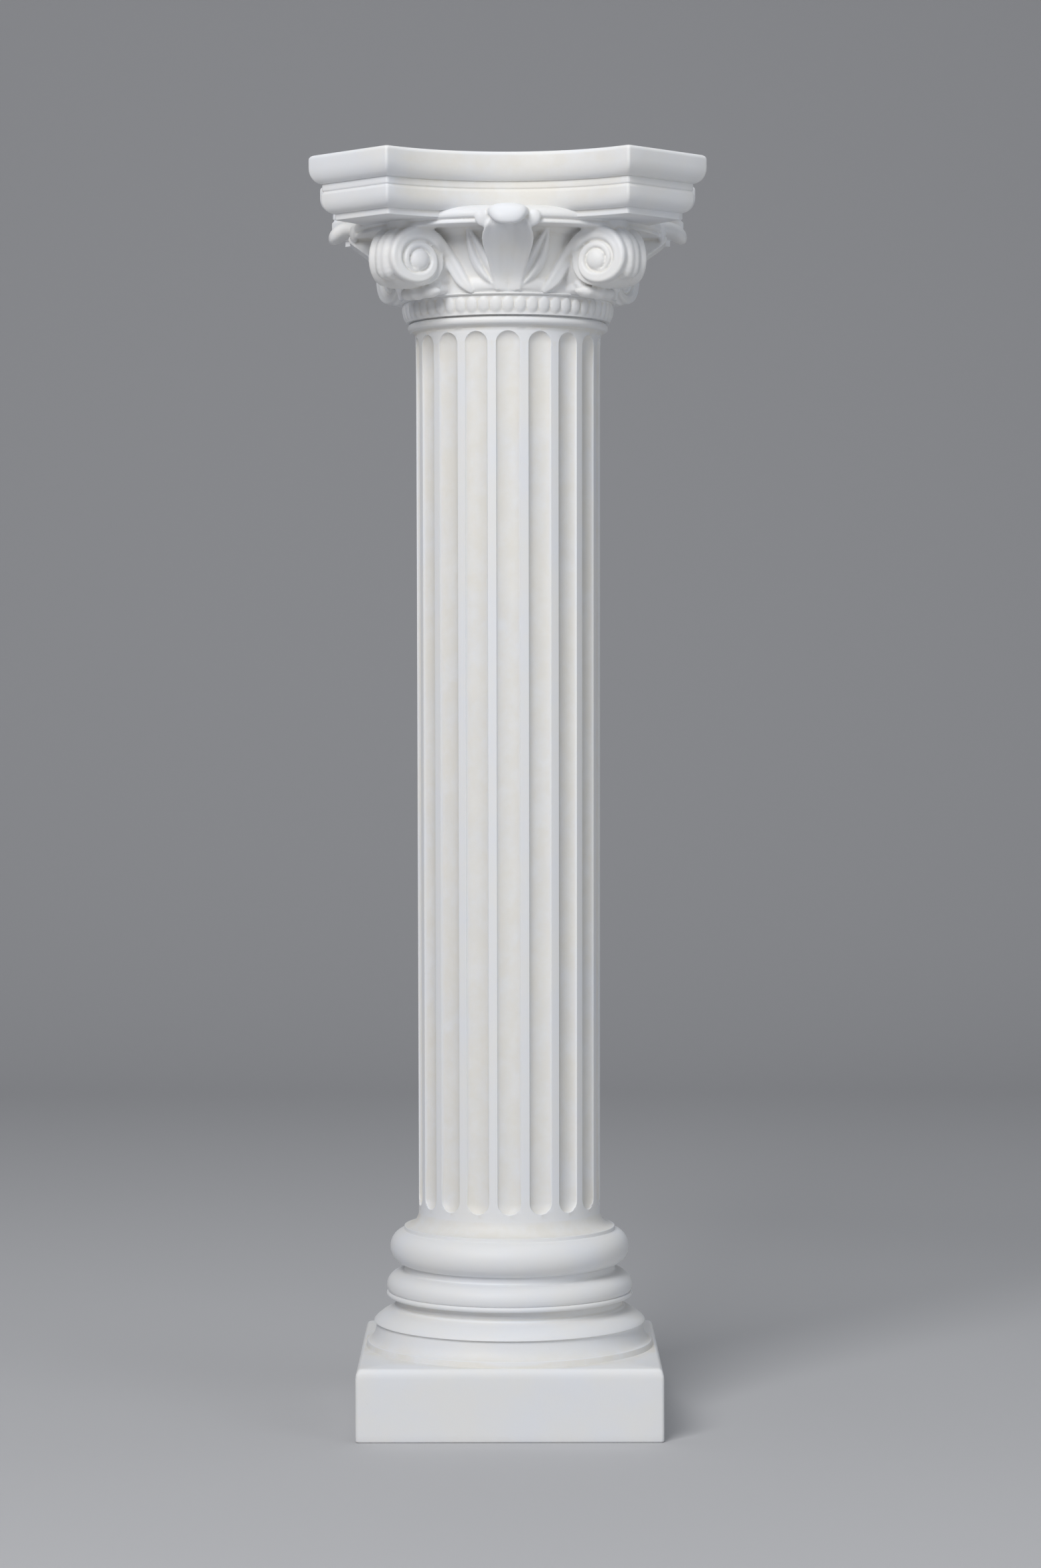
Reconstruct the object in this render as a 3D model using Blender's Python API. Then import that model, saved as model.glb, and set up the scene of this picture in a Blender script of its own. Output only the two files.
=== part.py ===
"""Marble column: square plinth, turned base, fluted shaft and a leaf and scroll capital, cast in one."""

from math import asin, atan2, cos, exp, pi, radians, sin, sqrt

import bmesh
import bpy
from mathutils import Matrix, Vector

# Plinth
PLINTH_WIDTH = 0.2392
PLINTH_HEIGHT = 0.057
PLINTH_EDGE = 0.0042
PLINTH_EDGE_HEIGHT = 0.0080

# Turned base, from the plinth up
FOOT_RADIUS = 0.1150
FOOT_HEIGHT = 0.0045
COVE_HEIGHT = 0.0185
OVOLO_RADIUS = 0.1055
OVOLO_HEIGHT = 0.0095
LOWER_NECK_RADIUS = 0.0905
LOWER_NECK_HEIGHT = 0.0075
BEAD_ROLL_RADIUS = 0.0988
BEAD_ROLL_HEIGHT = 0.004
WIDE_ROLL_RADIUS = 0.0985
WIDE_ROLL_HEIGHT = 0.016
WIDE_ROLL_SHOULDER = (0.18, 0.35)
UPPER_NECK_RADIUS = 0.0845
UPPER_NECK_HEIGHT = 0.0055
TORUS_RADIUS = 0.0958
TORUS_HEIGHT = 0.0275
BASE_FILLET_RADIUS = 0.0845
BASE_FILLET_HEIGHT = 0.0028
FOOT_FLARE_HEIGHT = 0.0122
GROOVE_DEPTH = 0.0018

# Shaft
SHAFT_LENGTH = 0.7047
SHAFT_FOOT_RADIUS = 0.0727
SHAFT_HEAD_RADIUS = 0.0739
HEAD_FLARE = 0.0012
HEAD_FLARE_LENGTH = 0.023
FLUTE_COUNT = 18
FLUTE_SHARE = 0.74
FLUTE_DEPTH = 0.0044
FLUTE_MARGIN = 0.0045
FLUTE_STATIONS = (-1.0, -0.62, 0.0, 0.62, 1.0)
FLUTE_CLOSING = (1.0, 0.75, 0.0)
FLUTE_LEAST_WIDTH = 0.2

# Neck: half round, bead row and fillet
NECK_ROLL_RADIUS = 0.0806
NECK_ROLL_HEIGHT = 0.0068
BEAD_COUNT = 54
BEAD_BAND_RADIUS = 0.0822
BEAD_BAND_SPREAD = 0.002
BEAD_BAND_HEIGHT = 0.0135
BEAD_RISE = 0.0018
NECK_FILLET_RADIUS = 0.0866
NECK_FILLET_HEIGHT = 0.0032

# Bell and its lip
BELL_FOOT_RADIUS = 0.0848
BELL_HEAD_RADIUS = 0.096
BELL_HEIGHT = 0.0545
BELL_FLARE_POWER = 1.6
LIP_RADIUS = 0.125
LIP_HEIGHT = 0.0155
LIP_DROP = 0.0055
LIP_FILLET_HEIGHT = 0.0027
LIP_STEP = 0.0022

# Abacus: a square plate with hollow sides and cut corners, in three members
ABACUS_CORNER = 0.176
ABACUS_SIDE_RADIUS = 0.1294
ABACUS_SIDE_CENTRE = 0.2466
PLATE_HEIGHT = 0.005
PLATE_INSET = 0.0151
LOWER_MEMBER_HEIGHT = 0.017
LOWER_MEMBER_INSET = 0.007
LOWER_MEMBER_ROUND = 0.0052
LOWER_MEMBER_STATIONS = ((0.0, 1.0), (0.2, 0.3), (0.55, 0.0), (0.97, 0.1))
ABACUS_FILLET_HEIGHT = 0.006
ABACUS_FILLET_INSET = 0.0078
TOP_MEMBER_HEIGHT = 0.0225
TOP_UNDER_ROUND = 0.0115
TOP_UNDER_DEPTH = 0.009
TOP_EDGE_ROUND = 0.0035

# Scrolls: place of the eye in the corner's own frame (out along the diagonal, across it), and the coil
SCROLL_OUT = 0.1156
SCROLL_ACROSS = 0.018
SCROLL_TURN = radians(17)
SCROLL_EYE_HEIGHT = 0.027
SCROLL_RADIUS = 0.0195
SCROLL_TIGHTENING = 0.107
SCROLL_BAND = 0.0045
SCROLL_RISE = 0.0032
SCROLL_DRUM = 0.0105
SCROLL_START = radians(55)
SCROLL_SWEEP = radians(450)
EYE_RADIUS = 0.0066
EYE_TAPER = 0.8
STEM_SPOTS = ((0.012, 0.003), (0.030, 0.010), (0.0425, 0.027))
STEM_SHARE = 0.8
BAND_CROWN = 0.85
BAND_ROOT = 1.6
BAND_SHOULDER = 0.4

# Corner block: height over the bell's foot, how far it is drawn in, and its share of the full width
BLOCK_INNER_REACH = 0.0704
BLOCK_STATIONS = (
    (0.0, 0.046, 0.6),
    (0.006, 0.034, 0.8),
    (0.009, 0.007, 0.95),
    (0.016, 0.0, 1.0),
    (0.026, -0.0025, 1.0),
    (0.038, 0.002, 1.0),
    (0.051, 0.018, 0.8),
)

# Leaves
RIM_HALF_WIDTH = 0.0105
RIM_REACH = 0.140
RIM_SWELL = 0.25
ROLL_RADIUS = 0.0048
ROLL_REACH = 0.0975
ROLL_HALF_LENGTH = 0.021
ROLL_DROP = 0.001
ROLL_STATIONS = ((-1.0, 0.6), (-0.75, 1.0), (0.75, 1.0), (1.0, 0.6))
SHELL_TOP_WIDTH = 0.042
SHELL_FOOT_WIDTH = 0.019
SHELL_FOOT_REACH = 0.089
SHELL_TOP_REACH = 0.129
SHELL_SCOOP = 0.004
SHELL_LEVELS = (0.0, 0.35, 0.7, 0.9, 1.0)
SHELL_WIDENING = 0.8
SHELL_LEANING = 1.7
SHELL_INNER_REACH = 0.0678
SHELL_OUTLINE = ((1.0, 0.0), (0.85, 1.0), (0.4, 0.15), (0.0, 0.0))
SHELL_INNER_SHARE = 0.6
BOSS_WIDTH = 0.0296
BOSS_HEIGHT = 0.0205
BOSS_REACH = 0.1425
BOSS_DEPTH = 0.024
BOSS_STATIONS = ((-1.0, 0.6), (-0.6, 1.0), (0.6, 1.0), (1.0, 0.6))
BOSS_HOOK = (
    (-2.4, 0.6),
    (0.1, 1.0),
    (0.7, 0.72),
    (1.0, 0.0),
    (0.86, -0.85),
    (0.45, -0.95),
    (-0.05, -0.35),
    (-2.4, -0.35),
)
LANCE_LENGTH = 0.050
LANCE_WIDTH = 0.0135
LANCE_LEAN = radians(27)
LANCE_FOOT = (0.0105, 0.004)
LANCE_STATIONS = ((0.0, 0.3), (0.3, 0.9), (0.65, 0.9), (1.0, 0.2))
LANCE_STAND = 0.0035
LANCE_TIP_STAND = 0.005
LANCE_KEEL = 0.003
LANCE_ROOT = 0.007

# Fineness of the faceted solid
TURNED_SIDES = 32
SMOOTH_ANGLE = radians(32)
ROUND_STEPS = 3
TORUS_STEPS = 6
SIDE_STEPS = 6
SCROLL_STEPS = 8

# Heights that follow from the values above
BASE_FOOT = PLINTH_HEIGHT
SHAFT_FOOT = (
    BASE_FOOT + FOOT_HEIGHT + COVE_HEIGHT + OVOLO_HEIGHT + LOWER_NECK_HEIGHT + BEAD_ROLL_HEIGHT
    + WIDE_ROLL_HEIGHT + UPPER_NECK_HEIGHT + TORUS_HEIGHT + BASE_FILLET_HEIGHT + FOOT_FLARE_HEIGHT
)
NECK_FOOT = SHAFT_FOOT + SHAFT_LENGTH
BELL_FOOT = NECK_FOOT + NECK_ROLL_HEIGHT + BEAD_BAND_HEIGHT + NECK_FILLET_HEIGHT + GROOVE_DEPTH
ABACUS_FOOT = BELL_FOOT + BELL_HEIGHT
EYE_HEIGHT = BELL_FOOT + SCROLL_EYE_HEIGHT


def clear_scene():
    for item in list(bpy.data.objects):
        bpy.data.objects.remove(item, do_unlink=True)


def marble():
    material = bpy.data.materials.new("white_cast_marble")
    material.use_nodes = True
    shader = material.node_tree.nodes["Principled BSDF"]
    shader.inputs["Base Color"].default_value = (0.80, 0.79, 0.76, 1.0)
    shader.inputs["Roughness"].default_value = 0.5
    shader.inputs["Metallic"].default_value = 0.0
    return material


def mesh_object(name, points, faces):
    mesh = bpy.data.meshes.new(name)
    mesh.from_pydata([tuple(p) for p in points], [], faces)
    mesh.update()
    mesh.shade_smooth()
    mesh.set_sharp_from_angle(angle=SMOOTH_ANGLE)
    thing = bpy.data.objects.new(name, mesh)
    bpy.context.scene.collection.objects.link(thing)
    return thing


# Profiles: lists of (radius, height) pairs, from the bottom up

def bulge(inner, outer, low, high, steps=ROUND_STEPS):
    """A half round that starts and ends at the inner radius."""
    middle = (low + high) / 2
    pairs = []
    for i in range(steps + 1):
        turn = pi * i / steps - pi / 2
        pairs.append((inner + (outer - inner) * cos(turn), middle + (high - low) / 2 * sin(turn)))
    return pairs


def hollow(low_radius, high_radius, low, high, steps=ROUND_STEPS):
    """A concave quarter round, level at its foot and upright at its head."""
    pairs = []
    for i in range(steps + 1):
        turn = pi / 2 * i / steps
        pairs.append((low_radius + (high_radius - low_radius) * sin(turn), high - (high - low) * cos(turn)))
    return pairs


def ovolo(low_radius, high_radius, low, high, steps=ROUND_STEPS):
    """A convex quarter round, upright at its foot and level at its head."""
    pairs = []
    for i in range(steps + 1):
        turn = pi / 2 * i / steps
        pairs.append((high_radius + (low_radius - high_radius) * cos(turn), low + (high - low) * sin(turn)))
    return pairs


def base_profile():
    z = BASE_FOOT
    pairs = [(FOOT_RADIUS, z)]
    z += FOOT_HEIGHT
    pairs += hollow(FOOT_RADIUS, OVOLO_RADIUS - GROOVE_DEPTH, z, z + COVE_HEIGHT)
    z += COVE_HEIGHT
    pairs += ovolo(OVOLO_RADIUS, LOWER_NECK_RADIUS + GROOVE_DEPTH, z, z + OVOLO_HEIGHT, 2)
    z += OVOLO_HEIGHT
    pairs += [(LOWER_NECK_RADIUS, z + GROOVE_DEPTH / 2), (LOWER_NECK_RADIUS, z + LOWER_NECK_HEIGHT)]
    z += LOWER_NECK_HEIGHT
    pairs += bulge(BEAD_ROLL_RADIUS - GROOVE_DEPTH, BEAD_ROLL_RADIUS, z, z + BEAD_ROLL_HEIGHT, 2)
    z += BEAD_ROLL_HEIGHT
    edge, shoulder = WIDE_ROLL_SHOULDER
    pairs += [(WIDE_ROLL_RADIUS, z + WIDE_ROLL_HEIGHT * edge)]
    pairs += ovolo(
        WIDE_ROLL_RADIUS - GROOVE_DEPTH / 3, UPPER_NECK_RADIUS + GROOVE_DEPTH / 2,
        z + WIDE_ROLL_HEIGHT * shoulder, z + WIDE_ROLL_HEIGHT, 2,
    )
    z += WIDE_ROLL_HEIGHT
    pairs += [(UPPER_NECK_RADIUS, z + GROOVE_DEPTH / 2), (UPPER_NECK_RADIUS, z + UPPER_NECK_HEIGHT)]
    z += UPPER_NECK_HEIGHT
    pairs += bulge(UPPER_NECK_RADIUS - GROOVE_DEPTH, TORUS_RADIUS, z, z + TORUS_HEIGHT, TORUS_STEPS)[1:-1]
    z += TORUS_HEIGHT
    pairs += [(BASE_FILLET_RADIUS, z), (BASE_FILLET_RADIUS, z + BASE_FILLET_HEIGHT)]
    z += BASE_FILLET_HEIGHT
    pairs += hollow(BASE_FILLET_RADIUS, SHAFT_FOOT_RADIUS, z, z + FOOT_FLARE_HEIGHT, 3)[1:]
    return pairs


def shaft_radius(z):
    """Slightly wider at the head, with a short flare under the neck."""
    share = (z - SHAFT_FOOT) / SHAFT_LENGTH
    radius = SHAFT_FOOT_RADIUS + (SHAFT_HEAD_RADIUS - SHAFT_FOOT_RADIUS) * share
    flare = max(0.0, 1 - (NECK_FOOT - z) / HEAD_FLARE_LENGTH)
    return radius + HEAD_FLARE * flare * flare


# Rings: closed outlines around the axis, in rising order of angle

def turned_ring(radius, z, sides=TURNED_SIDES):
    turns = [2 * pi * i / sides - pi for i in range(sides)]
    return [Vector((radius * cos(a), radius * sin(a), z)) for a in turns]


def fluted_ring(z, opening):
    """The shaft's outline: opening is 1 where the flutes run full and falls to 0 where they close."""
    radius = shaft_radius(z)
    pitch = 2 * pi / FLUTE_COUNT
    half = pitch * FLUTE_SHARE / 2 * max(opening, FLUTE_LEAST_WIDTH)
    ring = []
    for i in range(FLUTE_COUNT):
        centre = pitch * (i + 0.5) - pi
        for across in FLUTE_STATIONS:
            depth = FLUTE_DEPTH * opening * sqrt(1 - across * across)
            turn = centre + half * across
            ring.append(Vector(((radius - depth) * cos(turn), (radius - depth) * sin(turn), z)))
    return ring


def beaded_ring(radius, z):
    ring = []
    for i in range(2 * BEAD_COUNT):
        turn = pi * i / BEAD_COUNT - pi
        out = radius + (BEAD_RISE if i % 2 else 0.0)
        ring.append(Vector((out * cos(turn), out * sin(turn), z)))
    return ring


def plinth_ring(half, cut, z):
    corners = []
    for quarter in range(4):
        turn = Matrix.Rotation(pi / 2 * quarter, 4, "Z")
        corners.append(turn @ Vector((-half, -half + cut, z)))
        corners.append(turn @ Vector((-half + cut, -half, z)))
    return sorted(corners, key=lambda p: atan2(p.y, p.x))


def abacus_ring(inset, z):
    """Four hollow sides joined by straight cut corners, drawn in from the outermost outline by inset."""
    corner = ABACUS_CORNER - inset
    radius = ABACUS_SIDE_RADIUS + inset
    centre = ABACUS_SIDE_CENTRE
    along = centre / sqrt(2)
    across = along - sqrt(radius * radius - (corner - along) ** 2)
    end_x = (corner - across) / sqrt(2)
    reach = asin(end_x / radius)
    ring = []
    for quarter in range(4):
        turn = Matrix.Rotation(pi / 2 * quarter, 4, "Z")
        for i in range(SIDE_STEPS + 1):
            a = -reach + 2 * reach * i / SIDE_STEPS
            ring.append(turn @ Vector((radius * sin(a), -centre + radius * cos(a), z)))
    return sorted(ring, key=lambda p: atan2(p.y, p.x))


def bridge(faces, low, high):
    """Joins two rings of (index, angle) pairs; rings of unlike counts are joined by triangles."""
    if len(low) == len(high):
        count = len(low)
        for i in range(count):
            j = (i + 1) % count
            faces.append((low[i][0], low[j][0], high[j][0], high[i][0]))
        return
    i = j = 0
    while i < len(low) or j < len(high):
        next_low = low[(i + 1) % len(low)][1] + (2 * pi if i + 1 >= len(low) else 0)
        next_high = high[(j + 1) % len(high)][1] + (2 * pi if j + 1 >= len(high) else 0)
        here_low = low[i % len(low)][0]
        here_high = high[j % len(high)][0]
        if j >= len(high) or (i < len(low) and next_low <= next_high):
            faces.append((here_low, low[(i + 1) % len(low)][0], here_high))
            i += 1
        else:
            faces.append((here_low, high[(j + 1) % len(high)][0], here_high))
            j += 1


def stack(name, rings):
    """A closed solid through a pile of rings, capped flat at both ends."""
    points = []
    faces = []
    marked = []
    for ring in rings:
        marked.append([(len(points) + i, atan2(p.y, p.x)) for i, p in enumerate(ring)])
        points += ring
    for low, high in zip(marked, marked[1:]):
        bridge(faces, low, high)
    faces.append(tuple(index for index, _ in reversed(marked[0])))
    faces.append(tuple(index for index, _ in marked[-1]))
    return mesh_object(name, points, faces)


def shaft_rings():
    half_flute = pi / FLUTE_COUNT * FLUTE_SHARE * SHAFT_FOOT_RADIUS
    low = SHAFT_FOOT + FLUTE_MARGIN
    high = NECK_FOOT - FLUTE_MARGIN
    rings = []
    for share in FLUTE_CLOSING:
        rings.append(fluted_ring(low + half_flute * (1 - share), sqrt(1 - share * share)))
    for share in reversed(FLUTE_CLOSING):
        rings.append(fluted_ring(high - half_flute * (1 - share), sqrt(1 - share * share)))
    return rings


def neck_rings():
    z = NECK_FOOT
    rings = [turned_ring(shaft_radius(z), z)]
    inner = NECK_ROLL_RADIUS - NECK_ROLL_HEIGHT / 2
    rings += [turned_ring(r, h) for r, h in bulge(inner, NECK_ROLL_RADIUS, z, z + NECK_ROLL_HEIGHT, 2)]
    z += NECK_ROLL_HEIGHT
    top = BEAD_BAND_RADIUS + BEAD_BAND_SPREAD
    z += GROOVE_DEPTH
    rings.append(turned_ring(BEAD_BAND_RADIUS, z, 2 * BEAD_COUNT))
    rings.append(beaded_ring(BEAD_BAND_RADIUS + BEAD_BAND_SPREAD / 2, z + BEAD_BAND_HEIGHT / 2))
    z += BEAD_BAND_HEIGHT
    rings.append(turned_ring(top, z, 2 * BEAD_COUNT))
    rings.append(turned_ring(NECK_FILLET_RADIUS, z + GROOVE_DEPTH / 3))
    rings.append(turned_ring(NECK_FILLET_RADIUS, z + NECK_FILLET_HEIGHT - GROOVE_DEPTH / 3))
    return rings


def bell_radius(z):
    """The bell widens slowly at first and faster under its lip."""
    share = min(1.0, max(0.0, (z - BELL_FOOT) / BELL_HEIGHT))
    return BELL_FOOT_RADIUS + (BELL_HEAD_RADIUS - BELL_FOOT_RADIUS) * share ** BELL_FLARE_POWER


def bell_rings():
    heights = [BELL_FOOT + BELL_HEIGHT * share for share in (0.0, 0.5, 1.0)]
    return [turned_ring(bell_radius(z), z) for z in heights]


def abacus_rings():
    z = ABACUS_FOOT
    rings = [abacus_ring(PLATE_INSET, z), abacus_ring(PLATE_INSET, z + PLATE_HEIGHT)]
    z += PLATE_HEIGHT
    for share, drawn in LOWER_MEMBER_STATIONS:
        inset = LOWER_MEMBER_INSET + LOWER_MEMBER_ROUND * drawn
        rings.append(abacus_ring(inset, z + LOWER_MEMBER_HEIGHT * share))
    z += LOWER_MEMBER_HEIGHT
    rings.append(abacus_ring(ABACUS_FILLET_INSET + GROOVE_DEPTH / 2, z + GROOVE_DEPTH / 3))
    rings.append(abacus_ring(ABACUS_FILLET_INSET, z + ABACUS_FILLET_HEIGHT))
    z += ABACUS_FILLET_HEIGHT
    for i in range(1, ROUND_STEPS + 1):
        turn = pi / 2 * i / ROUND_STEPS
        inset = TOP_UNDER_DEPTH * (1 - sin(turn))
        rings.append(abacus_ring(inset, z + TOP_UNDER_ROUND * (1 - cos(turn))))
    z += TOP_MEMBER_HEIGHT
    for turn in (0.0, pi / 4, pi / 2):
        inset = TOP_EDGE_ROUND * (1 - cos(turn))
        rings.append(abacus_ring(inset, z - TOP_EDGE_ROUND * (1 - sin(turn))))
    return rings


def column_body():
    half = PLINTH_WIDTH / 2
    cut = PLINTH_EDGE / 2
    rings = [plinth_ring(half, cut, 0.0)]
    for turn in (0.0, pi / 4, pi / 2):
        drawn = PLINTH_EDGE * (1 - cos(turn))
        rings.append(plinth_ring(half - drawn, cut, PLINTH_HEIGHT - PLINTH_EDGE_HEIGHT * (1 - sin(turn))))
    rings += [turned_ring(r, z) for r, z in base_profile()]
    rings += shaft_rings()
    rings += neck_rings()
    rings += bell_rings()
    rings += abacus_rings()
    return stack("marble_column", rings)


def lip():
    """The broad rim of the bell, an upright band over a thin fillet."""
    low = ABACUS_FOOT - LIP_DROP
    high = low + LIP_HEIGHT
    inner = BELL_HEAD_RADIUS - LIP_STEP
    fillet = LIP_RADIUS - LIP_STEP
    pairs = [
        (inner, low),
        (fillet, low),
        (fillet, low + LIP_FILLET_HEIGHT),
        (LIP_RADIUS, low + LIP_FILLET_HEIGHT + LIP_STEP / 2),
        (LIP_RADIUS, high),
        (inner, high),
    ]
    return stack("lip", [turned_ring(r, z) for r, z in pairs])


# Lofted ornaments

def loft_faces(sections, start):
    """Faces of a closed loft through sections of equal count, whose first point has index start."""
    count = len(sections[0])
    faces = []
    for row in range(len(sections) - 1):
        for i in range(count):
            j = (i + 1) % count
            low = start + row * count
            high = low + count
            faces.append((low + i, low + j, high + j, high + i))
    faces.append(tuple(start + i for i in reversed(range(count))))
    last = start + (len(sections) - 1) * count
    faces.append(tuple(last + i for i in range(count)))
    return faces


def around(name, lofts, mirrored):
    """Every loft copied to the four quarters, and mirrored in each when asked, as one operand."""
    points = []
    faces = []
    for quarter in range(4):
        turn = Matrix.Rotation(pi / 2 * quarter, 4, "Z")
        for flip in (False, True) if mirrored else (False,):
            for sections in lofts:
                start = len(points)
                for section in sections:
                    for p in section:
                        spot = Vector((-p.x, p.y, p.z)) if flip else p
                        points.append(turn @ spot)
                faces += loft_faces(sections, start)
    thing = mesh_object(name, points, faces)
    mesh = bmesh.new()
    mesh.from_mesh(thing.data)
    bmesh.ops.recalc_face_normals(mesh, faces=mesh.faces)
    mesh.to_mesh(thing.data)
    mesh.free()
    return thing


def corner_point(out, across, z):
    """A point of the front left corner: out along the diagonal, across it towards the front face."""
    return Vector(((-out + across) / sqrt(2), (-out - across) / sqrt(2), z))


def rounded_section(centre, side, rise, half_width, half_height, points=6):
    """A flattened round section, with its corners softened."""
    section = []
    for i in range(points):
        turn = 2 * pi * (i + 0.5) / points
        section.append(
            centre + side * (half_width * cos(turn) / cos(pi / points))
            + rise * (half_height * sin(turn) / cos(pi / points))
        )
    return section


def corner_block():
    """The stone behind each pair of scrolls, with the leaf rim on the diagonal."""
    sections = []
    for height, drawn, share in BLOCK_STATIONS:
        z = BELL_FOOT + height
        rim = RIM_REACH - drawn
        half = RIM_HALF_WIDTH * share
        flank = half + (rim - BLOCK_INNER_REACH) * sin(SCROLL_TURN) * share
        outline = (
            (BLOCK_INNER_REACH, flank),
            (rim, half),
            (rim + half * RIM_SWELL, 0.0),
            (rim, -half),
            (BLOCK_INNER_REACH, -flank),
        )
        sections.append([corner_point(out, across, z) for out, across in outline])
    return sections


def scroll_frame():
    """Eye, outward direction along the face of the scroll, and the direction it faces."""
    eye = corner_point(SCROLL_OUT, SCROLL_ACROSS, EYE_HEIGHT)
    outward = corner_point(cos(SCROLL_TURN), -sin(SCROLL_TURN), 0)
    facing = corner_point(sin(SCROLL_TURN), cos(SCROLL_TURN), 0)
    return eye, outward, facing


def scroll_drum():
    eye, outward, facing = scroll_frame()
    up = Vector((0, 0, 1))
    sections = []
    for depth in (-SCROLL_DRUM, -SCROLL_RISE / 3):
        centre = eye + facing * depth + outward * (SCROLL_BAND / 4)
        sections.append(rounded_section(centre, outward, up, SCROLL_RADIUS, SCROLL_RADIUS, 10))
    return sections


def scroll_eye():
    eye, outward, facing = scroll_frame()
    up = Vector((0, 0, 1))
    sections = []
    for depth, share in ((-SCROLL_RISE, 1.0), (SCROLL_RISE, EYE_TAPER)):
        radius = EYE_RADIUS * share
        sections.append(rounded_section(eye + facing * depth, outward, up, radius, radius))
    return sections


def scroll_band():
    """The band that springs from the foot of the bell, runs over the scroll and coils into the eye."""
    eye, outward, facing = scroll_frame()
    up = Vector((0, 0, 1))
    spots = []
    for x, rise in STEM_SPOTS:
        z = BELL_FOOT + rise
        radius = bell_radius(z) + SCROLL_RISE
        spot = Vector((-x, -sqrt(radius * radius - x * x), z))
        spots.append((spot, Vector((-x, -radius, 0)).normalized(), STEM_SHARE))
    for i in range(SCROLL_STEPS + 1):
        turn = SCROLL_START + SCROLL_SWEEP * i / SCROLL_STEPS
        share = exp(-SCROLL_TIGHTENING * max(0.0, turn - pi))
        spot = eye - outward * (SCROLL_RADIUS * share * cos(turn)) + up * (SCROLL_RADIUS * share * sin(turn))
        spots.append((spot, facing, share))
    sections = []
    for i, (spot, normal, share) in enumerate(spots):
        before = spots[max(i - 1, 0)][0]
        after = spots[min(i + 1, len(spots) - 1)][0]
        along = (after - before).normalized()
        side = along.cross(normal).normalized()
        rise = side.cross(along).normalized()
        half = SCROLL_BAND * share
        root = rise * (SCROLL_RISE * BAND_ROOT)
        shoulder = rise * (SCROLL_RISE * BAND_SHOULDER)
        sections.append([
            spot - side * half - root,
            spot + side * half - root,
            spot + side * (half * BAND_CROWN) + shoulder,
            spot + rise * SCROLL_RISE,
            spot - side * (half * BAND_CROWN) + shoulder,
        ])
    return sections


def leaf_roll():
    """The rolled edge of the lower leaf, across the corner under each pair of scrolls."""
    out = corner_point(1, 0, 0)
    up = Vector((0, 0, 1))
    sections = []
    for share, size in ROLL_STATIONS:
        spot = corner_point(ROLL_REACH, ROLL_HALF_LENGTH * share, BELL_FOOT - ROLL_DROP)
        sections.append(rounded_section(spot, out, up, ROLL_RADIUS * size, ROLL_RADIUS * size))
    return sections


def shell_reach(share):
    """How far out the scooped leaf stands: steep at its foot, then leaning out under the boss."""
    return SHELL_FOOT_REACH + (SHELL_TOP_REACH - SHELL_FOOT_REACH) * share ** SHELL_LEANING


def shell():
    """The scooped leaf in the middle of each face, which leans out to carry the boss."""
    foot = BELL_FOOT + GROOVE_DEPTH
    height = ABACUS_FOOT - GROOVE_DEPTH - foot
    sections = []
    for share in SHELL_LEVELS:
        z = foot + height * share
        half = (SHELL_FOOT_WIDTH + (SHELL_TOP_WIDTH - SHELL_FOOT_WIDTH) * share ** SHELL_WIDENING) / 2
        hollow_reach = shell_reach(share) - SHELL_SCOOP
        front = [(half * along, hollow_reach + SHELL_SCOOP * lift) for along, lift in SHELL_OUTLINE]
        outline = [(-x, out) for x, out in front[:-1]] + front[::-1]
        inner = half * SHELL_INNER_SHARE
        outline += [(inner, SHELL_INNER_REACH), (-inner, SHELL_INNER_REACH)]
        sections.append([Vector((x, -out, z)) for x, out in outline])
    return sections


def boss():
    """The rolled tip of the scooped leaf: a hook that hangs in front of the lip."""
    middle = Vector((0, -(BOSS_REACH - BOSS_DEPTH / 2), ABACUS_FOOT + GROOVE_DEPTH))
    sections = []
    for along, size in BOSS_STATIONS:
        x = along * BOSS_WIDTH / 2
        depth = size * BOSS_DEPTH / 2
        height = size * BOSS_HEIGHT / 2
        sections.append([middle + Vector((x, -out * depth, up * height)) for out, up in BOSS_HOOK])
    return sections


def lance():
    """A narrow leaf with a keel, on each side of the scooped leaf."""
    foot_x, foot_height = LANCE_FOOT
    sections = []
    for share, wide in LANCE_STATIONS:
        x = foot_x + LANCE_LENGTH * share * sin(LANCE_LEAN)
        z = BELL_FOOT + foot_height + LANCE_LENGTH * share * cos(LANCE_LEAN)
        radius = bell_radius(z) + LANCE_STAND + LANCE_TIP_STAND * share ** 2
        normal = Vector((-x, -radius, 0)).normalized()
        side = Vector((cos(LANCE_LEAN), 0, sin(LANCE_LEAN)))
        spot = Vector((-x, -sqrt(radius * radius - x * x), z))
        half = side * (LANCE_WIDTH / 2 * wide)
        sections.append([
            spot - half - normal * LANCE_ROOT,
            spot + half - normal * LANCE_ROOT,
            spot + half,
            spot + normal * LANCE_KEEL,
            spot - half,
        ])
    return sections


def unite(body, operands):
    """One exact union of the body with every ornament."""
    ornaments = bpy.data.collections.new("ornaments")
    bpy.context.scene.collection.children.link(ornaments)
    for operand in operands:
        ornaments.objects.link(operand)
        bpy.context.scene.collection.objects.unlink(operand)
        operand.hide_render = True
        operand.display_type = "WIRE"
    join = body.modifiers.new("carving", "BOOLEAN")
    join.operation = "UNION"
    join.solver = "EXACT"
    join.operand_type = "COLLECTION"
    join.collection = ornaments
    join.use_self = True


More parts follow.
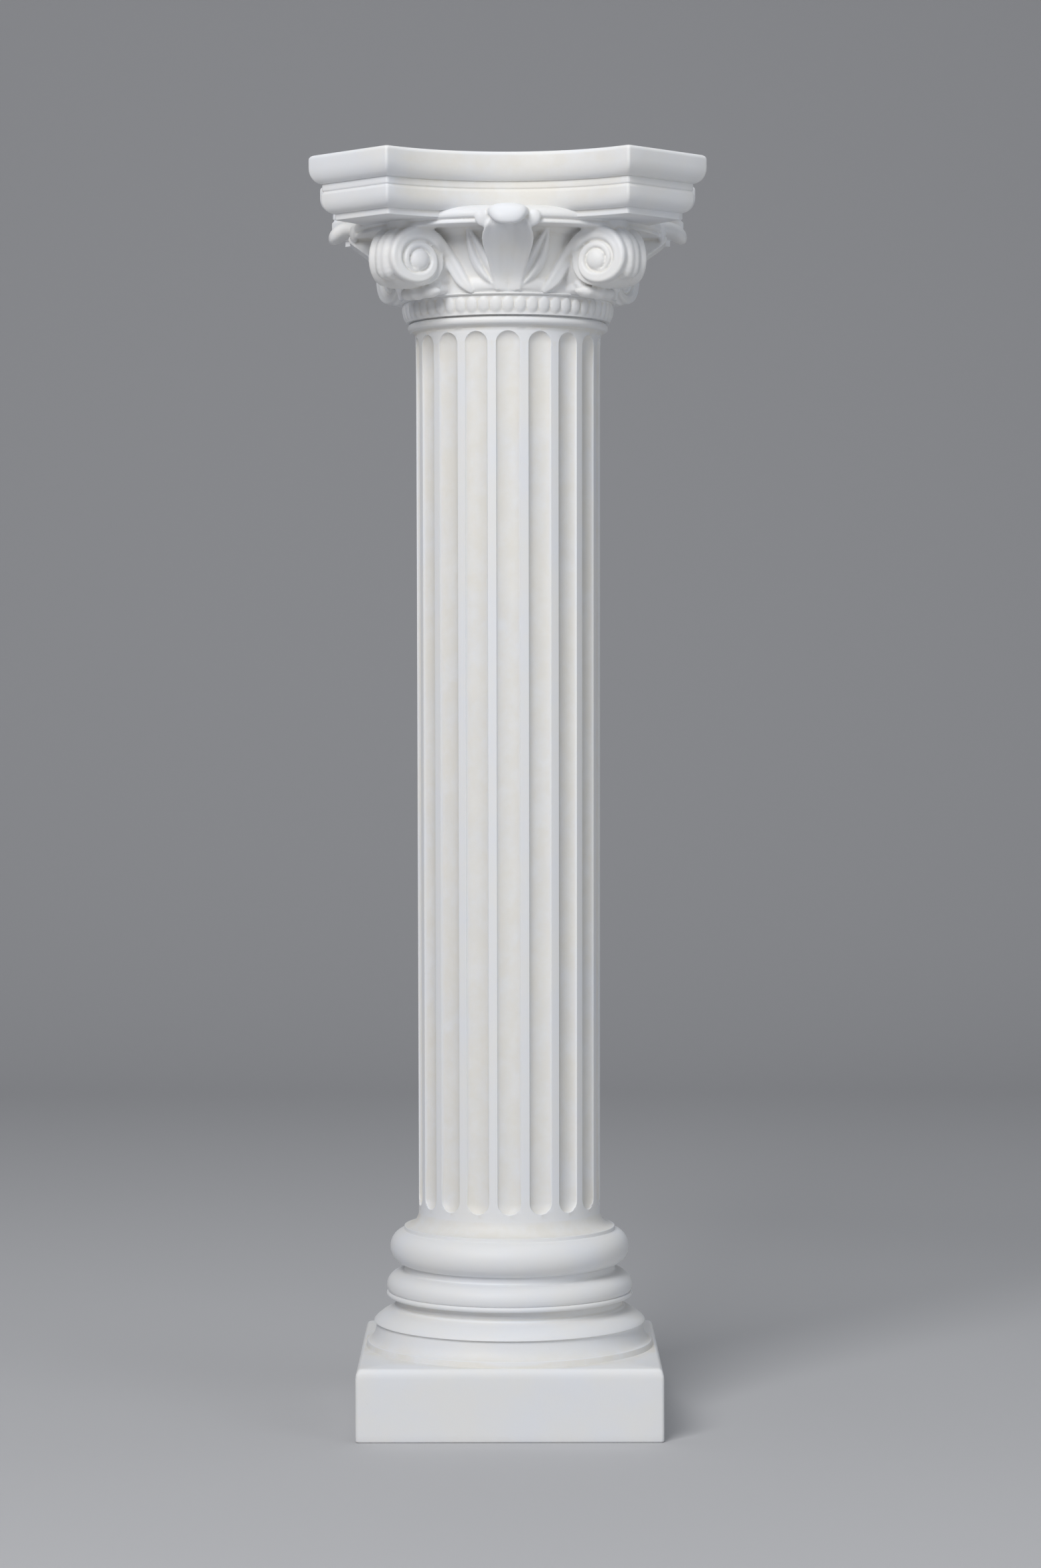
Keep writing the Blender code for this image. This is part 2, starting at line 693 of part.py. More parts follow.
def build():
    clear_scene()
    body = column_body()
    body.data.materials.append(marble())
    unite(body, [
        lip(),
        around("corner_blocks", [corner_block()], False),
        around("drums", [scroll_drum()], True),
        around("shells", [shell()], False),
        around("bosses", [boss()], False),
        around("lances", [lance()], True),
        around("leaf_rolls", [leaf_roll()], False),
        around("bands", [scroll_band()], True),
        around("eyes", [scroll_eye()], True),
    ])


build()
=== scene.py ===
"""Finish of the marble column: mouldings, flutes, beads, leaves, scrolls, stone, light and camera."""
from math import asin, atan2, cos, exp, pi, radians, sin, sqrt

import bmesh
import bpy
import numpy as np
from mathutils import Matrix, Vector


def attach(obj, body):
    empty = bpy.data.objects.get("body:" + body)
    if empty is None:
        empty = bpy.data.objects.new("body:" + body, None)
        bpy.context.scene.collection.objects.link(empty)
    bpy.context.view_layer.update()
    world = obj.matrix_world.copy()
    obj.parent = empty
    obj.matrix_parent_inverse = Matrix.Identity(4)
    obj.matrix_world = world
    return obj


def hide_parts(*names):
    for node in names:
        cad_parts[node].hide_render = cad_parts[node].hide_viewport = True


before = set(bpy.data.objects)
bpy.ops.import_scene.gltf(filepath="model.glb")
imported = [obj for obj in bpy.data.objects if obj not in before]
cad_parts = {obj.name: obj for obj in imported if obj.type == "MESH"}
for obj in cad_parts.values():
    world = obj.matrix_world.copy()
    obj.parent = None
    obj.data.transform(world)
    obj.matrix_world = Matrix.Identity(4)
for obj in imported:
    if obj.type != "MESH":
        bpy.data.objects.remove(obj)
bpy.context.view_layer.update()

# Every size below is in millimetres, and MM turns it into the frame's metres
MM = 0.001

# Plinth
PLINTH_WIDTH = 239.2
PLINTH_HEIGHT = 57.0
PLINTH_TOP_ROUND = 4.0
PLINTH_TOP_ROUND_HEIGHT = 8.0
PLINTH_FOOT_ROUND = 1.6
PLINTH_CORNER_ROUND = 2.6
PLINTH_ROUND_STEPS = 6
PLINTH_FOOT_STEPS = 3
PLINTH_SIDE_STEPS = 24
PLINTH_FACE_STEPS = 7

# Turned base, from the plinth up
FOOT_RADIUS = 115.0
FOOT_HEIGHT = 4.5
COVE_HEIGHT = 15.0
COVE_UNDERCUT = 2.2
SLOPE_RADIUS = 109.0
SLOPE_HEIGHT = 13.0
# The sloping member over the cove: share of the way in and of the way up
SLOPE_SHARES = (
    (0.0, 0.02), (0.03, 0.1), (0.15, 0.27), (0.41, 0.52), (0.64, 0.69), (0.88, 0.84), (0.97, 0.93),
    (1.0, 1.0),
)
LOWER_NECK_RADIUS = 90.5
LOWER_NECK_HEIGHT = 7.5
BEAD_ROLL_RADIUS = 98.8
BEAD_ROLL_HEIGHT = 4.0
WIDE_ROLL_RADIUS = 98.5
WIDE_ROLL_HEIGHT = 16.0
WIDE_ROLL_SHOULDER = 0.3     # share of its height where the roll stands out furthest
UPPER_NECK_RADIUS = 84.5
UPPER_NECK_HEIGHT = 5.5
TORUS_RADIUS = 95.8
TORUS_HEIGHT = 27.5
BASE_FILLET_RADIUS = 84.5
BASE_FILLET_HEIGHT = 2.8
FOOT_FLARE_HEIGHT = 12.2
GROOVE = 1.8

# Shaft
SHAFT_LENGTH = 704.7
SHAFT_FOOT_RADIUS = 72.7
SHAFT_HEAD_RADIUS = 73.9
HEAD_FLARE = 1.2
HEAD_FLARE_LENGTH = 23.0
FLUTE_COUNT = 18
FLUTE_SHARE = 0.74
FLUTE_DEPTH = 4.4
FLUTE_MARGIN = 4.5
FLUTE_FULLNESS = 0.62        # a half would make the flute's section a half ellipse
FLUTE_LEAST_OPENING = 0.05   # share of its width that a flute keeps where it closes
FLUTE_POINTS = 12
FILLET_POINTS = 4
FLUTE_END_STEPS = 10
SHAFT_STEPS = 24

# Neck: half round, bead row and fillet
NECK_ROLL_RADIUS = 80.6
NECK_ROLL_HEIGHT = 6.8
BEAD_COUNT = 54
BEAD_POINTS = 8
BEAD_STEPS = 10
BEAD_WIDTH_SHARE = 0.98
BEAD_LENGTH_SHARE = 0.9
BEAD_BAND_RADIUS = 82.0
BEAD_BAND_SPREAD = 2.0
BEAD_BAND_HEIGHT = 13.5
BEAD_RISE = 1.9
NECK_FILLET_RADIUS = 86.6
NECK_FILLET_HEIGHT = 3.2

# Bell and its lip
BELL_FOOT_RADIUS = 84.8
BELL_HEAD_RADIUS = 96.0
BELL_HEIGHT = 54.5
BELL_LEANING = 1.6
BELL_STEPS = 12
LIP_FILLET_RADIUS = 123.4
LIP_FILLET_HEIGHT = 2.4
LIP_RADIUS = 125.0
LIP_DROP = 5.5
LIP_HEIGHT = 15.5
# The lip's rounded top, from its face inwards: how far in, and how far below its highest point
LIP_TOP = ((1.2, 5.4), (3.4, 3.4), (6.6, 1.8), (10.5, 0.7), (15, 0), (20, 0))

# Abacus
ABACUS_CORNER = 176.0
ABACUS_SIDE_RADIUS = 129.4
ABACUS_SIDE_CENTRE = 246.6
ARRIS_ROUND = 2.4
PLATE_HEIGHT = 5.0
PLATE_INSET = 15.1
PLATE_UNDERSIDE = 30.0       # how far in the plate's underside runs
LOWER_MEMBER_HEIGHT = 17.0
LOWER_MEMBER_INSET = 7.0
LOWER_MEMBER_ROUND = 8.0
LOWER_MEMBER_ROUND_HEIGHT = 11.0
ABACUS_FILLET_HEIGHT = 6.0
ABACUS_FILLET_INSET = 7.6
TOP_MEMBER_HEIGHT = 22.5
TOP_UNDER_DEPTH = 8.0
TOP_UNDER_HEIGHT = 12.5
TOP_EDGE_ROUND = 3.5
TOP_EDGE_STEPS = 6
CORNER_SHARES = (0.0, 0.25, 0.5, 0.75, 1.0)
CUT_CORNER_SHARES = (0.2, 0.4, 0.6, 0.8)

# Scrolls: the eye's place in the corner's own frame (out along the diagonal, across it)
SCROLL_OUT = 115.6
SCROLL_ACROSS = 18.0
SCROLL_TURN = radians(17)
SCROLL_EYE_HEIGHT = 23.6
# Outer edge of the scroll: degrees from its top, outwards and down, and the distance from the eye
SCROLL_EDGES = (
    (-60, 27.4), (0, 27.0), (45, 26.6), (90, 26.0), (120, 23.8), (150, 20.4), (180, 18.4), (225, 17.0),
    (270, 15.4), (315, 14.6), (360, 13.8), (405, 14.0), (450, 13.6), (495, 11.0), (540, 8.4), (600, 7.6),
)
SCROLL_RISE = 3.6
SCROLL_STEP = 0.5
SCROLL_GROOVE = 1.8
SCROLL_START = radians(-48)
SCROLL_END = radians(560)
SCROLL_TURN_STEP = radians(16)
BAND_FILL = 0.97             # share of its room that the band fills
BAND_ROOT = 4.0
# Half of the band's section: share of its half width from the edge to the middle, and share of its rise
BAND_SHAPE = (
    (-1.0, -0.4), (-0.99, 0.2), (-0.9, 0.62), (-0.72, 0.9), (-0.48, 1.0), (-0.2, 0.92), (0.0, 0.87),
)
# Stem from the bell's foot to the scroll: place to the side, height over the foot and half width
STEM = ((-27.5, -1.0, 1.4), (-31.0, 3.0, 3.6), (-36.5, 9.5, 5.4), (-41.5, 18.5, 5.9), (-47.5, 29.0, 6.1))
STEM_STAND = 2.2
# Drum behind the band: depth behind the eye's plane and how much narrower it is there
SCROLL_DRUM = 11.0
DRUM_STATIONS = ((-SCROLL_DRUM, 2.0), (-SCROLL_DRUM + 2.0, 0.0), (-1.0, 0.0), (0.4, 1.2))
DRUM_MARGIN = 1.2
DRUM_POINTS = 48
DRUM_CLOSING = radians(318)
EYE_RADIUS = 7.8
EYE_FLATNESS = 0.5
EYE_STAND = 1.4

# Corner leaf over the edge between two scrolls: (out, height over the bell's foot) along it
RIM_OUT = 140.0
RIM_LINE = (
    (121.0, 50.5), (130.0, 46.0), (137.5, 38.5), (140.5, 30.0), (140.8, 22.0), (139.5, 15.0), (136.0, 9.8),
    (129.0, 8.0),
)
RIM_HALF = 8.4
RIM_LOBES = 13
RIM_DEPTH = 9.0
RIM_SHARES = (-1.06, -1.0, -0.82, -0.62, -0.4, -0.2, -0.07, 0.0, 0.07, 0.2, 0.4, 0.62, 0.82, 1.0, 1.06)

# Stone between the two scrolls of a corner, and the web that joins them to the bell and the abacus
BLOCK_RADIUS = 21.5
BLOCK_HALF = 10.0
BLOCK_SHARES = (-1.0, -0.6, 0.0, 0.6, 1.0)
BLOCK_POINTS = 40
WEB_ROOT = 70.0
# Height over the bell's foot, reach and half width
WEB_STATIONS = (
    (4.0, 99.0, 12.0), (9.0, 106.0, 15.0), (20.0, 118.0, 17.0), (35.0, 122.0, 17.0), (46.0, 124.0, 14.0),
    (56.0, 128.0, 12.0),
)

# Curled leaf under each corner
CURL_REACH = 100.5
CURL_HALF_LENGTH = 21.0
CURL_HALF_WIDTH = 6.2
CURL_HALF_HEIGHT = 4.9
CURL_SECTIONS = 17
CURL_ROOT = 74.0
CURL_ROOT_ROUND = 7.0
# Height over the bell's foot, reach and half width
CURL_ROOT_STATIONS = (
    (-1.5, 94.0, 15.0), (1.5, 96.5, 18.0), (5.0, 95.5, 17.5), (9.5, 92.0, 14.0), (14.0, 89.0, 9.0),
)
NOSE_POINTS = 9
# Stone between the curled leaf and the scrolls
CORNER_FILL_OUT = 93.0
CORNER_FILL_HEIGHT = 6.0
CORNER_FILL_HALVES = (9.5, 18.0, 7.0)

# Scooped leaf: height over the bell's foot, reach of its edges and half width, from the foot up
LEAF_EDGE = (
    (0.0, 88.0, 10.0), (10.0, 91.0, 12.6), (20.0, 98.0, 15.4), (29.0, 106.5, 18.4), (34.0, 112.5, 20.0),
    (39.0, 119.5, 20.4), (43.5, 125.5, 19.0), (47.5, 129.0, 17.0), (52.0, 127.5, 14.5),
)
LEAF_POINTS = 20
LEAF_SCOOP_AT_FOOT = 1.8
LEAF_SCOOP_GAIN = 4.6
LEAF_SCOOP_FULLNESS = 1.7
LEAF_RIB = 0.55
LEAF_VEIN = 0.7
LEAF_VEIN_WIDTH = 0.07
LEAF_ROLL = 1.6
LEAF_ROLL_START = 0.86
LEAF_THICKNESS = 7.0
LEAF_ROOT = 76.0
# Its curled tip: reach, height over the bell's foot, half width and half thickness
TIP_PATH = (
    (106.0, 53.5, 17.5, 5.5), (116.0, 56.4, 17.0, 6.2), (125.0, 57.4, 16.2, 6.4), (132.5, 56.2, 15.0, 6.5),
    (137.6, 52.6, 13.6, 6.1), (139.7, 48.6, 10.4, 4.6), (139.9, 46.2, 5.4, 2.1),
)
TIP_POINTS = 24
TIP_FULLNESS = 0.85
# Its small lobe: place to the side, reach, height over the bell's foot, and half sizes
LOBE_SIDE = 19.5
LOBE_REACH = 123.0
LOBE_HEIGHT = 52.5
LOBE_HALVES = (7.2, 6.0, 3.6)
LOBE_TILT = radians(-30)

# Narrow leaf: place to the side and height over the bell's foot, at its foot and tip
NARROW_FOOT = (-10.0, 3.5)
NARROW_TIP = (-32.0, 50.0)
NARROW_HALF = 7.4
NARROW_BOW = 1.6
NARROW_STAND = 1.6
NARROW_TIP_STAND = 3.2
NARROW_RISE = 3.6
NARROW_VEIN = 1.2
NARROW_VEIN_WIDTH = 0.13
NARROW_ROOT = 7.0
NARROW_STEPS = 26
NARROW_SHARES = (-1.0, -0.9, -0.72, -0.5, -0.3, -0.12, 0.0, 0.12, 0.3, 0.5, 0.72, 0.9, 1.0)

# Sheath at the foot of the stem and the narrow leaf
SHEATH_START = -9.0
SHEATH_LENGTH = 24.0
SHEATH_LEAST_HALF = 1.4
SHEATH_SWELL = 3.6
SHEATH_LIFT = 1.5
SHEATH_STAND = 0.4
SHEATH_THICKNESS = 2.2
SHEATH_STEPS = 10

# Fineness
SIDES = 144
ROUND_STEPS = 9
SIDE_POINTS = 26
VOXEL = 0.85
CARVING_TRIANGLES = 190000

# Heights that follow from the values above
BASE_FOOT = PLINTH_HEIGHT
SHAFT_FOOT = (
    BASE_FOOT + FOOT_HEIGHT + COVE_HEIGHT + SLOPE_HEIGHT + LOWER_NECK_HEIGHT + BEAD_ROLL_HEIGHT
    + WIDE_ROLL_HEIGHT + UPPER_NECK_HEIGHT + TORUS_HEIGHT + BASE_FILLET_HEIGHT + FOOT_FLARE_HEIGHT
)
NECK_FOOT = SHAFT_FOOT + SHAFT_LENGTH
BELL_FOOT = NECK_FOOT + NECK_ROLL_HEIGHT + BEAD_BAND_HEIGHT + NECK_FILLET_HEIGHT + GROOVE
ABACUS_FOOT = BELL_FOOT + BELL_HEIGHT
EYE_HEIGHT = BELL_FOOT + SCROLL_EYE_HEIGHT
UP = Vector((0, 0, 1))


# Profiles: lists of (radius, height) pairs, from the bottom up

def bulge(inner, outer, low, high, steps=ROUND_STEPS):
    """A half round that starts and ends at the inner radius."""
    middle = (low + high) / 2
    turns = [pi * i / steps - pi / 2 for i in range(steps + 1)]
    return [(inner + (outer - inner) * cos(a), middle + (high - low) / 2 * sin(a)) for a in turns]


def hollow(low_radius, high_radius, low, high, steps=ROUND_STEPS):
    """A concave quarter round, level at its foot and upright at its head."""
    turns = [pi / 2 * i / steps for i in range(steps + 1)]
    return [(low_radius + (high_radius - low_radius) * sin(a), high - (high - low) * cos(a)) for a in turns]


def ovolo(low_radius, high_radius, low, high, steps=ROUND_STEPS):
    """A convex quarter round, upright at its foot and level at its head."""
    turns = [pi / 2 * i / steps for i in range(steps + 1)]
    return [(high_radius + (low_radius - high_radius) * cos(a), low + (high - low) * sin(a)) for a in turns]


def soften(pairs, radius, steps=3, sharp=radians(20)):
    """Rounds each corner of an open outline that turns by more than sharp."""
    spots = [Vector(p) for p in pairs]
    soft = [spots[0]]
    for before, here, after in zip(spots, spots[1:], spots[2:]):
        back = before - here
        ahead = after - here
        if back.length < 1e-6 or ahead.length < 1e-6:
            continue
        if pi - back.angle(ahead) < sharp:
            soft.append(here)
            continue
        cut = min(radius, back.length * 0.45, ahead.length * 0.45)
        start = here + back.normalized() * cut
        end = here + ahead.normalized() * cut
        for i in range(steps + 1):
            t = i / steps
            soft.append(start * (1 - t) ** 2 + here * 2 * t * (1 - t) + end * t * t)
    soft.append(spots[-1])
    return [tuple(p) for p in soft]


def base_profile():
    """From the plinth up: foot, cove, slope, neck, bead, wide roll, neck, torus, fillet and flare."""
    z = BASE_FOOT
    pairs = [(FOOT_RADIUS, z)]
    z += FOOT_HEIGHT
    pairs += hollow(FOOT_RADIUS - GROOVE / 2, SLOPE_RADIUS - COVE_UNDERCUT, z, z + COVE_HEIGHT)
    z += COVE_HEIGHT
    inner = LOWER_NECK_RADIUS + GROOVE
    pairs += [(SLOPE_RADIUS + (inner - SLOPE_RADIUS) * way_in, z + SLOPE_HEIGHT * way_up)
              for way_in, way_up in SLOPE_SHARES]
    z += SLOPE_HEIGHT
    pairs += [(LOWER_NECK_RADIUS, z + GROOVE / 2), (LOWER_NECK_RADIUS, z + LOWER_NECK_HEIGHT)]
    z += LOWER_NECK_HEIGHT
    pairs += bulge(BEAD_ROLL_RADIUS - GROOVE, BEAD_ROLL_RADIUS, z, z + BEAD_ROLL_HEIGHT)
    z += BEAD_ROLL_HEIGHT
    shoulder = z + WIDE_ROLL_HEIGHT * WIDE_ROLL_SHOULDER
    pairs += bulge(WIDE_ROLL_RADIUS - GROOVE, WIDE_ROLL_RADIUS, z, 2 * shoulder - z)[:ROUND_STEPS // 2 + 1]
    pairs += ovolo(WIDE_ROLL_RADIUS, UPPER_NECK_RADIUS + GROOVE / 2, shoulder, z + WIDE_ROLL_HEIGHT)
    z += WIDE_ROLL_HEIGHT
    pairs += [(UPPER_NECK_RADIUS, z + GROOVE / 2), (UPPER_NECK_RADIUS, z + UPPER_NECK_HEIGHT)]
    z += UPPER_NECK_HEIGHT
    pairs += bulge(UPPER_NECK_RADIUS - GROOVE, TORUS_RADIUS, z, z + TORUS_HEIGHT, 2 * ROUND_STEPS)[1:-1]
    z += TORUS_HEIGHT
    pairs += [(BASE_FILLET_RADIUS, z), (BASE_FILLET_RADIUS, z + BASE_FILLET_HEIGHT)]
    z += BASE_FILLET_HEIGHT
    pairs += hollow(BASE_FILLET_RADIUS - GROOVE / 2, SHAFT_FOOT_RADIUS, z, z + FOOT_FLARE_HEIGHT)
    return soften(pairs, GROOVE / 2)


def shaft_radius(z):
    """Slightly wider at the head, with a short flare under the neck."""
    share = (z - SHAFT_FOOT) / SHAFT_LENGTH
    flare = max(0.0, 1 - (NECK_FOOT - z) / HEAD_FLARE_LENGTH)
    return SHAFT_FOOT_RADIUS + (SHAFT_HEAD_RADIUS - SHAFT_FOOT_RADIUS) * share + HEAD_FLARE * flare * flare


# Rings: closed outlines around the axis, in rising order of angle

def turned_ring(radius, z, sides=SIDES):
    """A circle around the axis."""
    turns = [2 * pi * i / sides - pi for i in range(sides)]
    return [Vector((radius * cos(a), radius * sin(a), z)) for a in turns]


def fluted_ring(z, opening):
    """The shaft's outline: opening is 1 where the flutes run full and falls to 0 where they close."""
    radius = shaft_radius(z)
    pitch = 2 * pi / FLUTE_COUNT
    half = pitch * FLUTE_SHARE / 2 * max(opening, FLUTE_LEAST_OPENING)
    ring = []
    for i in range(FLUTE_COUNT):
        centre = pitch * (i + 0.5) - pi
        for step in range(FLUTE_POINTS + 1):
            across = sin(pi / 2 * (2 * step / FLUTE_POINTS - 1))
            depth = FLUTE_DEPTH * opening * (1 - across * across) ** FLUTE_FULLNESS
            turn = centre + half * across
            ring.append(Vector(((radius - depth) * cos(turn), (radius - depth) * sin(turn), z)))
        rest = pitch - 2 * half
        for step in range(1, FILLET_POINTS):
            turn = centre + half + rest * step / FILLET_POINTS
            ring.append(Vector((radius * cos(turn), radius * sin(turn), z)))
    return sorted(ring, key=lambda p: atan2(p.y, p.x))


def shaft_rings():
    """The shaft, with flutes that close in round ends."""
    half_flute = pi / FLUTE_COUNT * FLUTE_SHARE * SHAFT_FOOT_RADIUS
    low = SHAFT_FOOT + FLUTE_MARGIN
    high = NECK_FOOT - FLUTE_MARGIN
    closing = [sin(pi / 2 * i / FLUTE_END_STEPS) for i in range(FLUTE_END_STEPS + 1)]
    rings = []
    for share in reversed(closing):
        rings.append(fluted_ring(low + half_flute * (1 - share), sqrt(1 - share * share)))
    for i in range(1, SHAFT_STEPS):
        z = low + half_flute + (high - low - 2 * half_flute) * i / SHAFT_STEPS
        rings.append(fluted_ring(z, 1.0))
    for share in closing:
        rings.append(fluted_ring(high - half_flute * (1 - share), sqrt(1 - share * share)))
    return rings


def bead_row_rings(z):
    """A row of upright beads on a band that widens upwards."""
    rings = []
    sides = BEAD_COUNT * BEAD_POINTS
    for step in range(BEAD_STEPS + 1):
        share = step / BEAD_STEPS
        length = 2 * share - 1
        ring = []
        for i in range(sides):
            turn = 2 * pi * i / sides - pi
            across = 2 * (i % BEAD_POINTS) / BEAD_POINTS - 1
            room = 1 - (across / BEAD_WIDTH_SHARE) ** 2 - (length / BEAD_LENGTH_SHARE) ** 2
            out = BEAD_BAND_RADIUS + BEAD_BAND_SPREAD * share + BEAD_RISE * sqrt(max(0.0, room))
            ring.append(Vector((out * cos(turn), out * sin(turn), z + BEAD_BAND_HEIGHT * share)))
        rings.append(ring)
    return rings


def neck_rings():
    """Half round, bead row and fillet between the shaft and the bell."""
    z = NECK_FOOT
    inner = NECK_ROLL_RADIUS - NECK_ROLL_HEIGHT / 2
    low = [(shaft_radius(z), z - GROOVE)] + bulge(inner, NECK_ROLL_RADIUS, z, z + NECK_ROLL_HEIGHT)
    z += NECK_ROLL_HEIGHT
    low += [(inner, z + GROOVE / 3), (BEAD_BAND_RADIUS, z + GROOVE / 2)]
    z += GROOVE
    rings = [turned_ring(r, h) for r, h in soften(low, GROOVE / 3)]
    rings += bead_row_rings(z)
    z += BEAD_BAND_HEIGHT
    top = BEAD_BAND_RADIUS + BEAD_BAND_SPREAD
    high = [(top, z)] + bulge(top, NECK_FILLET_RADIUS, z + GROOVE / 4, z + NECK_FILLET_HEIGHT - GROOVE / 4)
    high += [(BELL_FOOT_RADIUS - GROOVE, BELL_FOOT), (BELL_FOOT_RADIUS - 3 * GROOVE, BELL_FOOT + GROOVE)]
    return rings + [turned_ring(r, h) for r, h in high]


def plinth_ring(half, z):
    """A square outline with small round corners."""
    corner = PLINTH_CORNER_ROUND
    ring = []
    for quarter in range(4):
        middle = pi / 2 * quarter - 3 * pi / 4
        at = Vector((cos(middle), sin(middle), 0)) * ((half - corner) * sqrt(2))
        for i in range(PLINTH_ROUND_STEPS + 1):
            turn = middle - pi / 4 + pi / 2 * i / PLINTH_ROUND_STEPS
            ring.append(at + Vector((corner * cos(turn), corner * sin(turn), z)))
        side = Vector((-sin(middle + pi / 4), cos(middle + pi / 4), 0))
        for i in range(1, PLINTH_SIDE_STEPS):
            ring.append(at + Vector((corner * cos(middle + pi / 4), corner * sin(middle + pi / 4), z))
                        + side * (2 * (half - corner) * i / PLINTH_SIDE_STEPS))
    return sorted(ring, key=lambda p: atan2(p.y, p.x))


def plinth_rings():
    """The square plinth, with its lower and upper edges rounded."""
    half = PLINTH_WIDTH / 2
    rings = [plinth_ring(half - PLINTH_FOOT_ROUND * 2, 0.0)]
    for i in range(PLINTH_FOOT_STEPS + 1):
        turn = pi / 2 * i / PLINTH_FOOT_STEPS
        drawn = PLINTH_FOOT_ROUND * (1 - sin(turn))
        rings.append(plinth_ring(half - drawn, PLINTH_FOOT_ROUND * (1 - cos(turn))))
    for i in range(1, PLINTH_FACE_STEPS):
        rings.append(plinth_ring(half, (PLINTH_HEIGHT - PLINTH_TOP_ROUND_HEIGHT) * i / PLINTH_FACE_STEPS))
    for i in range(PLINTH_ROUND_STEPS + 1):
        turn = pi / 2 * i / PLINTH_ROUND_STEPS
        drawn = PLINTH_TOP_ROUND * (1 - cos(turn))
        rings.append(plinth_ring(half - drawn, PLINTH_HEIGHT - PLINTH_TOP_ROUND_HEIGHT * (1 - sin(turn))))
    return rings


def abacus_ring(inset, z):
    """Four hollow sides joined by straight cut corners, drawn in from the outermost outline by inset."""
    corner = ABACUS_CORNER - inset
    radius = ABACUS_SIDE_RADIUS + inset
    along = ABACUS_SIDE_CENTRE / sqrt(2)
    across = along - sqrt(radius * radius - (corner - along) ** 2)
    reach = asin((corner - across) / sqrt(2) / radius)
    side = []
    for i in range(SIDE_POINTS + 1):
        a = -reach + 2 * reach * i / SIDE_POINTS
        side.append(Vector((radius * sin(a), -ABACUS_SIDE_CENTRE + radius * cos(a))))
    outline = []
    for quarter in range(4):
        turn = Matrix.Rotation(pi / 2 * quarter, 2)
        outline += [turn @ p for p in side]
    ring = []
    for i, here in enumerate(outline):
        before = outline[i - 1]
        after = outline[(i + 1) % len(outline)]
        if i % len(side) in (0, len(side) - 1):
            back = (before - here).normalized() * ARRIS_ROUND
            ahead = (after - here).normalized() * ARRIS_ROUND
            for t in CORNER_SHARES:
                ring.append(here + back * (1 - t) ** 2 + ahead * t * t)
        else:
            ring.append(here)
        if i % len(side) == len(side) - 1:
            for t in CUT_CORNER_SHARES:
                ring.append(here.lerp(after, t))
    return sorted([Vector((p.x, p.y, z)) for p in ring], key=lambda p: atan2(p.y, p.x))


def abacus_profile():
    """(inset, height) pairs from the plate's underside to the top."""
    z = ABACUS_FOOT
    pairs = [(PLATE_INSET + PLATE_UNDERSIDE, z), (PLATE_INSET, z), (PLATE_INSET, z + PLATE_HEIGHT)]
    z += PLATE_HEIGHT
    inset = LOWER_MEMBER_INSET
    pairs += [(inset + LOWER_MEMBER_ROUND * (1 - sin(a)), z + LOWER_MEMBER_ROUND_HEIGHT * (1 - cos(a)))
              for a in [pi / 2 * i / ROUND_STEPS for i in range(ROUND_STEPS + 1)]]
    z += LOWER_MEMBER_HEIGHT
    pairs += [(inset, z - GROOVE * 1.2), (inset + GROOVE / 2, z - GROOVE / 2)]
    inset = ABACUS_FILLET_INSET
    pairs += [(inset + GROOVE / 2, z), (inset, z + GROOVE / 2)]
    z += ABACUS_FILLET_HEIGHT
    pairs += [(inset, z - GROOVE / 3)]
    pairs += [(TOP_UNDER_DEPTH * (1 - sin(a)), z + TOP_UNDER_HEIGHT * (1 - cos(a)))
              for a in [pi / 2 * i / ROUND_STEPS for i in range(ROUND_STEPS + 1)]]
    z += TOP_MEMBER_HEIGHT
    pairs += [(TOP_EDGE_ROUND * (1 - cos(a)), z - TOP_EDGE_ROUND * (1 - sin(a)))
              for a in [pi / 2 * i / TOP_EDGE_STEPS for i in range(TOP_EDGE_STEPS + 1)]]
    pairs += [(TOP_EDGE_ROUND * 2, z)]
    return soften(pairs, GROOVE / 3)


# Meshes

def mesh_object(name, points, faces):
    """An object from points in millimetres."""
    mesh = bpy.data.meshes.new(name)
    mesh.from_pydata([tuple(c * MM for c in p) for p in points], [], faces)
    mesh.update()
    thing = bpy.data.objects.new(name, mesh)
    bpy.context.scene.collection.objects.link(thing)
    return thing


def bridge(faces, low, high):
    """Joins two rings of (index, angle) pairs; rings of unlike counts are joined by triangles."""
    if len(low) == len(high):
        for i in range(len(low)):
            j = (i + 1) % len(low)
            faces.append((low[i][0], low[j][0], high[j][0], high[i][0]))
        return
    i = j = 0
    while i < len(low) or j < len(high):
        next_low = low[(i + 1) % len(low)][1] + (2 * pi if i + 1 >= len(low) else 0)
        next_high = high[(j + 1) % len(high)][1] + (2 * pi if j + 1 >= len(high) else 0)
        here_low = low[i % len(low)][0]
        here_high = high[j % len(high)][0]
        if j >= len(high) or (i < len(low) and next_low <= next_high):
            faces.append((here_low, low[(i + 1) % len(low)][0], here_high))
            i += 1
        else:
            faces.append((here_low, high[(j + 1) % len(high)][0], here_high))
            j += 1


def stack(rings, start=0):
    """Points and faces of a closed solid through a pile of rings, capped flat at both ends."""
    points = []
    faces = []
    marked = []
    for ring in rings:
        marked.append([(start + len(points) + i, atan2(p.y, p.x)) for i, p in enumerate(ring)])
        points += ring
    for low, high in zip(marked, marked[1:]):
        bridge(faces, low, high)
    faces.append(tuple(index for index, _ in reversed(marked[0])))
    faces.append(tuple(index for index, _ in marked[-1]))
    return points, faces


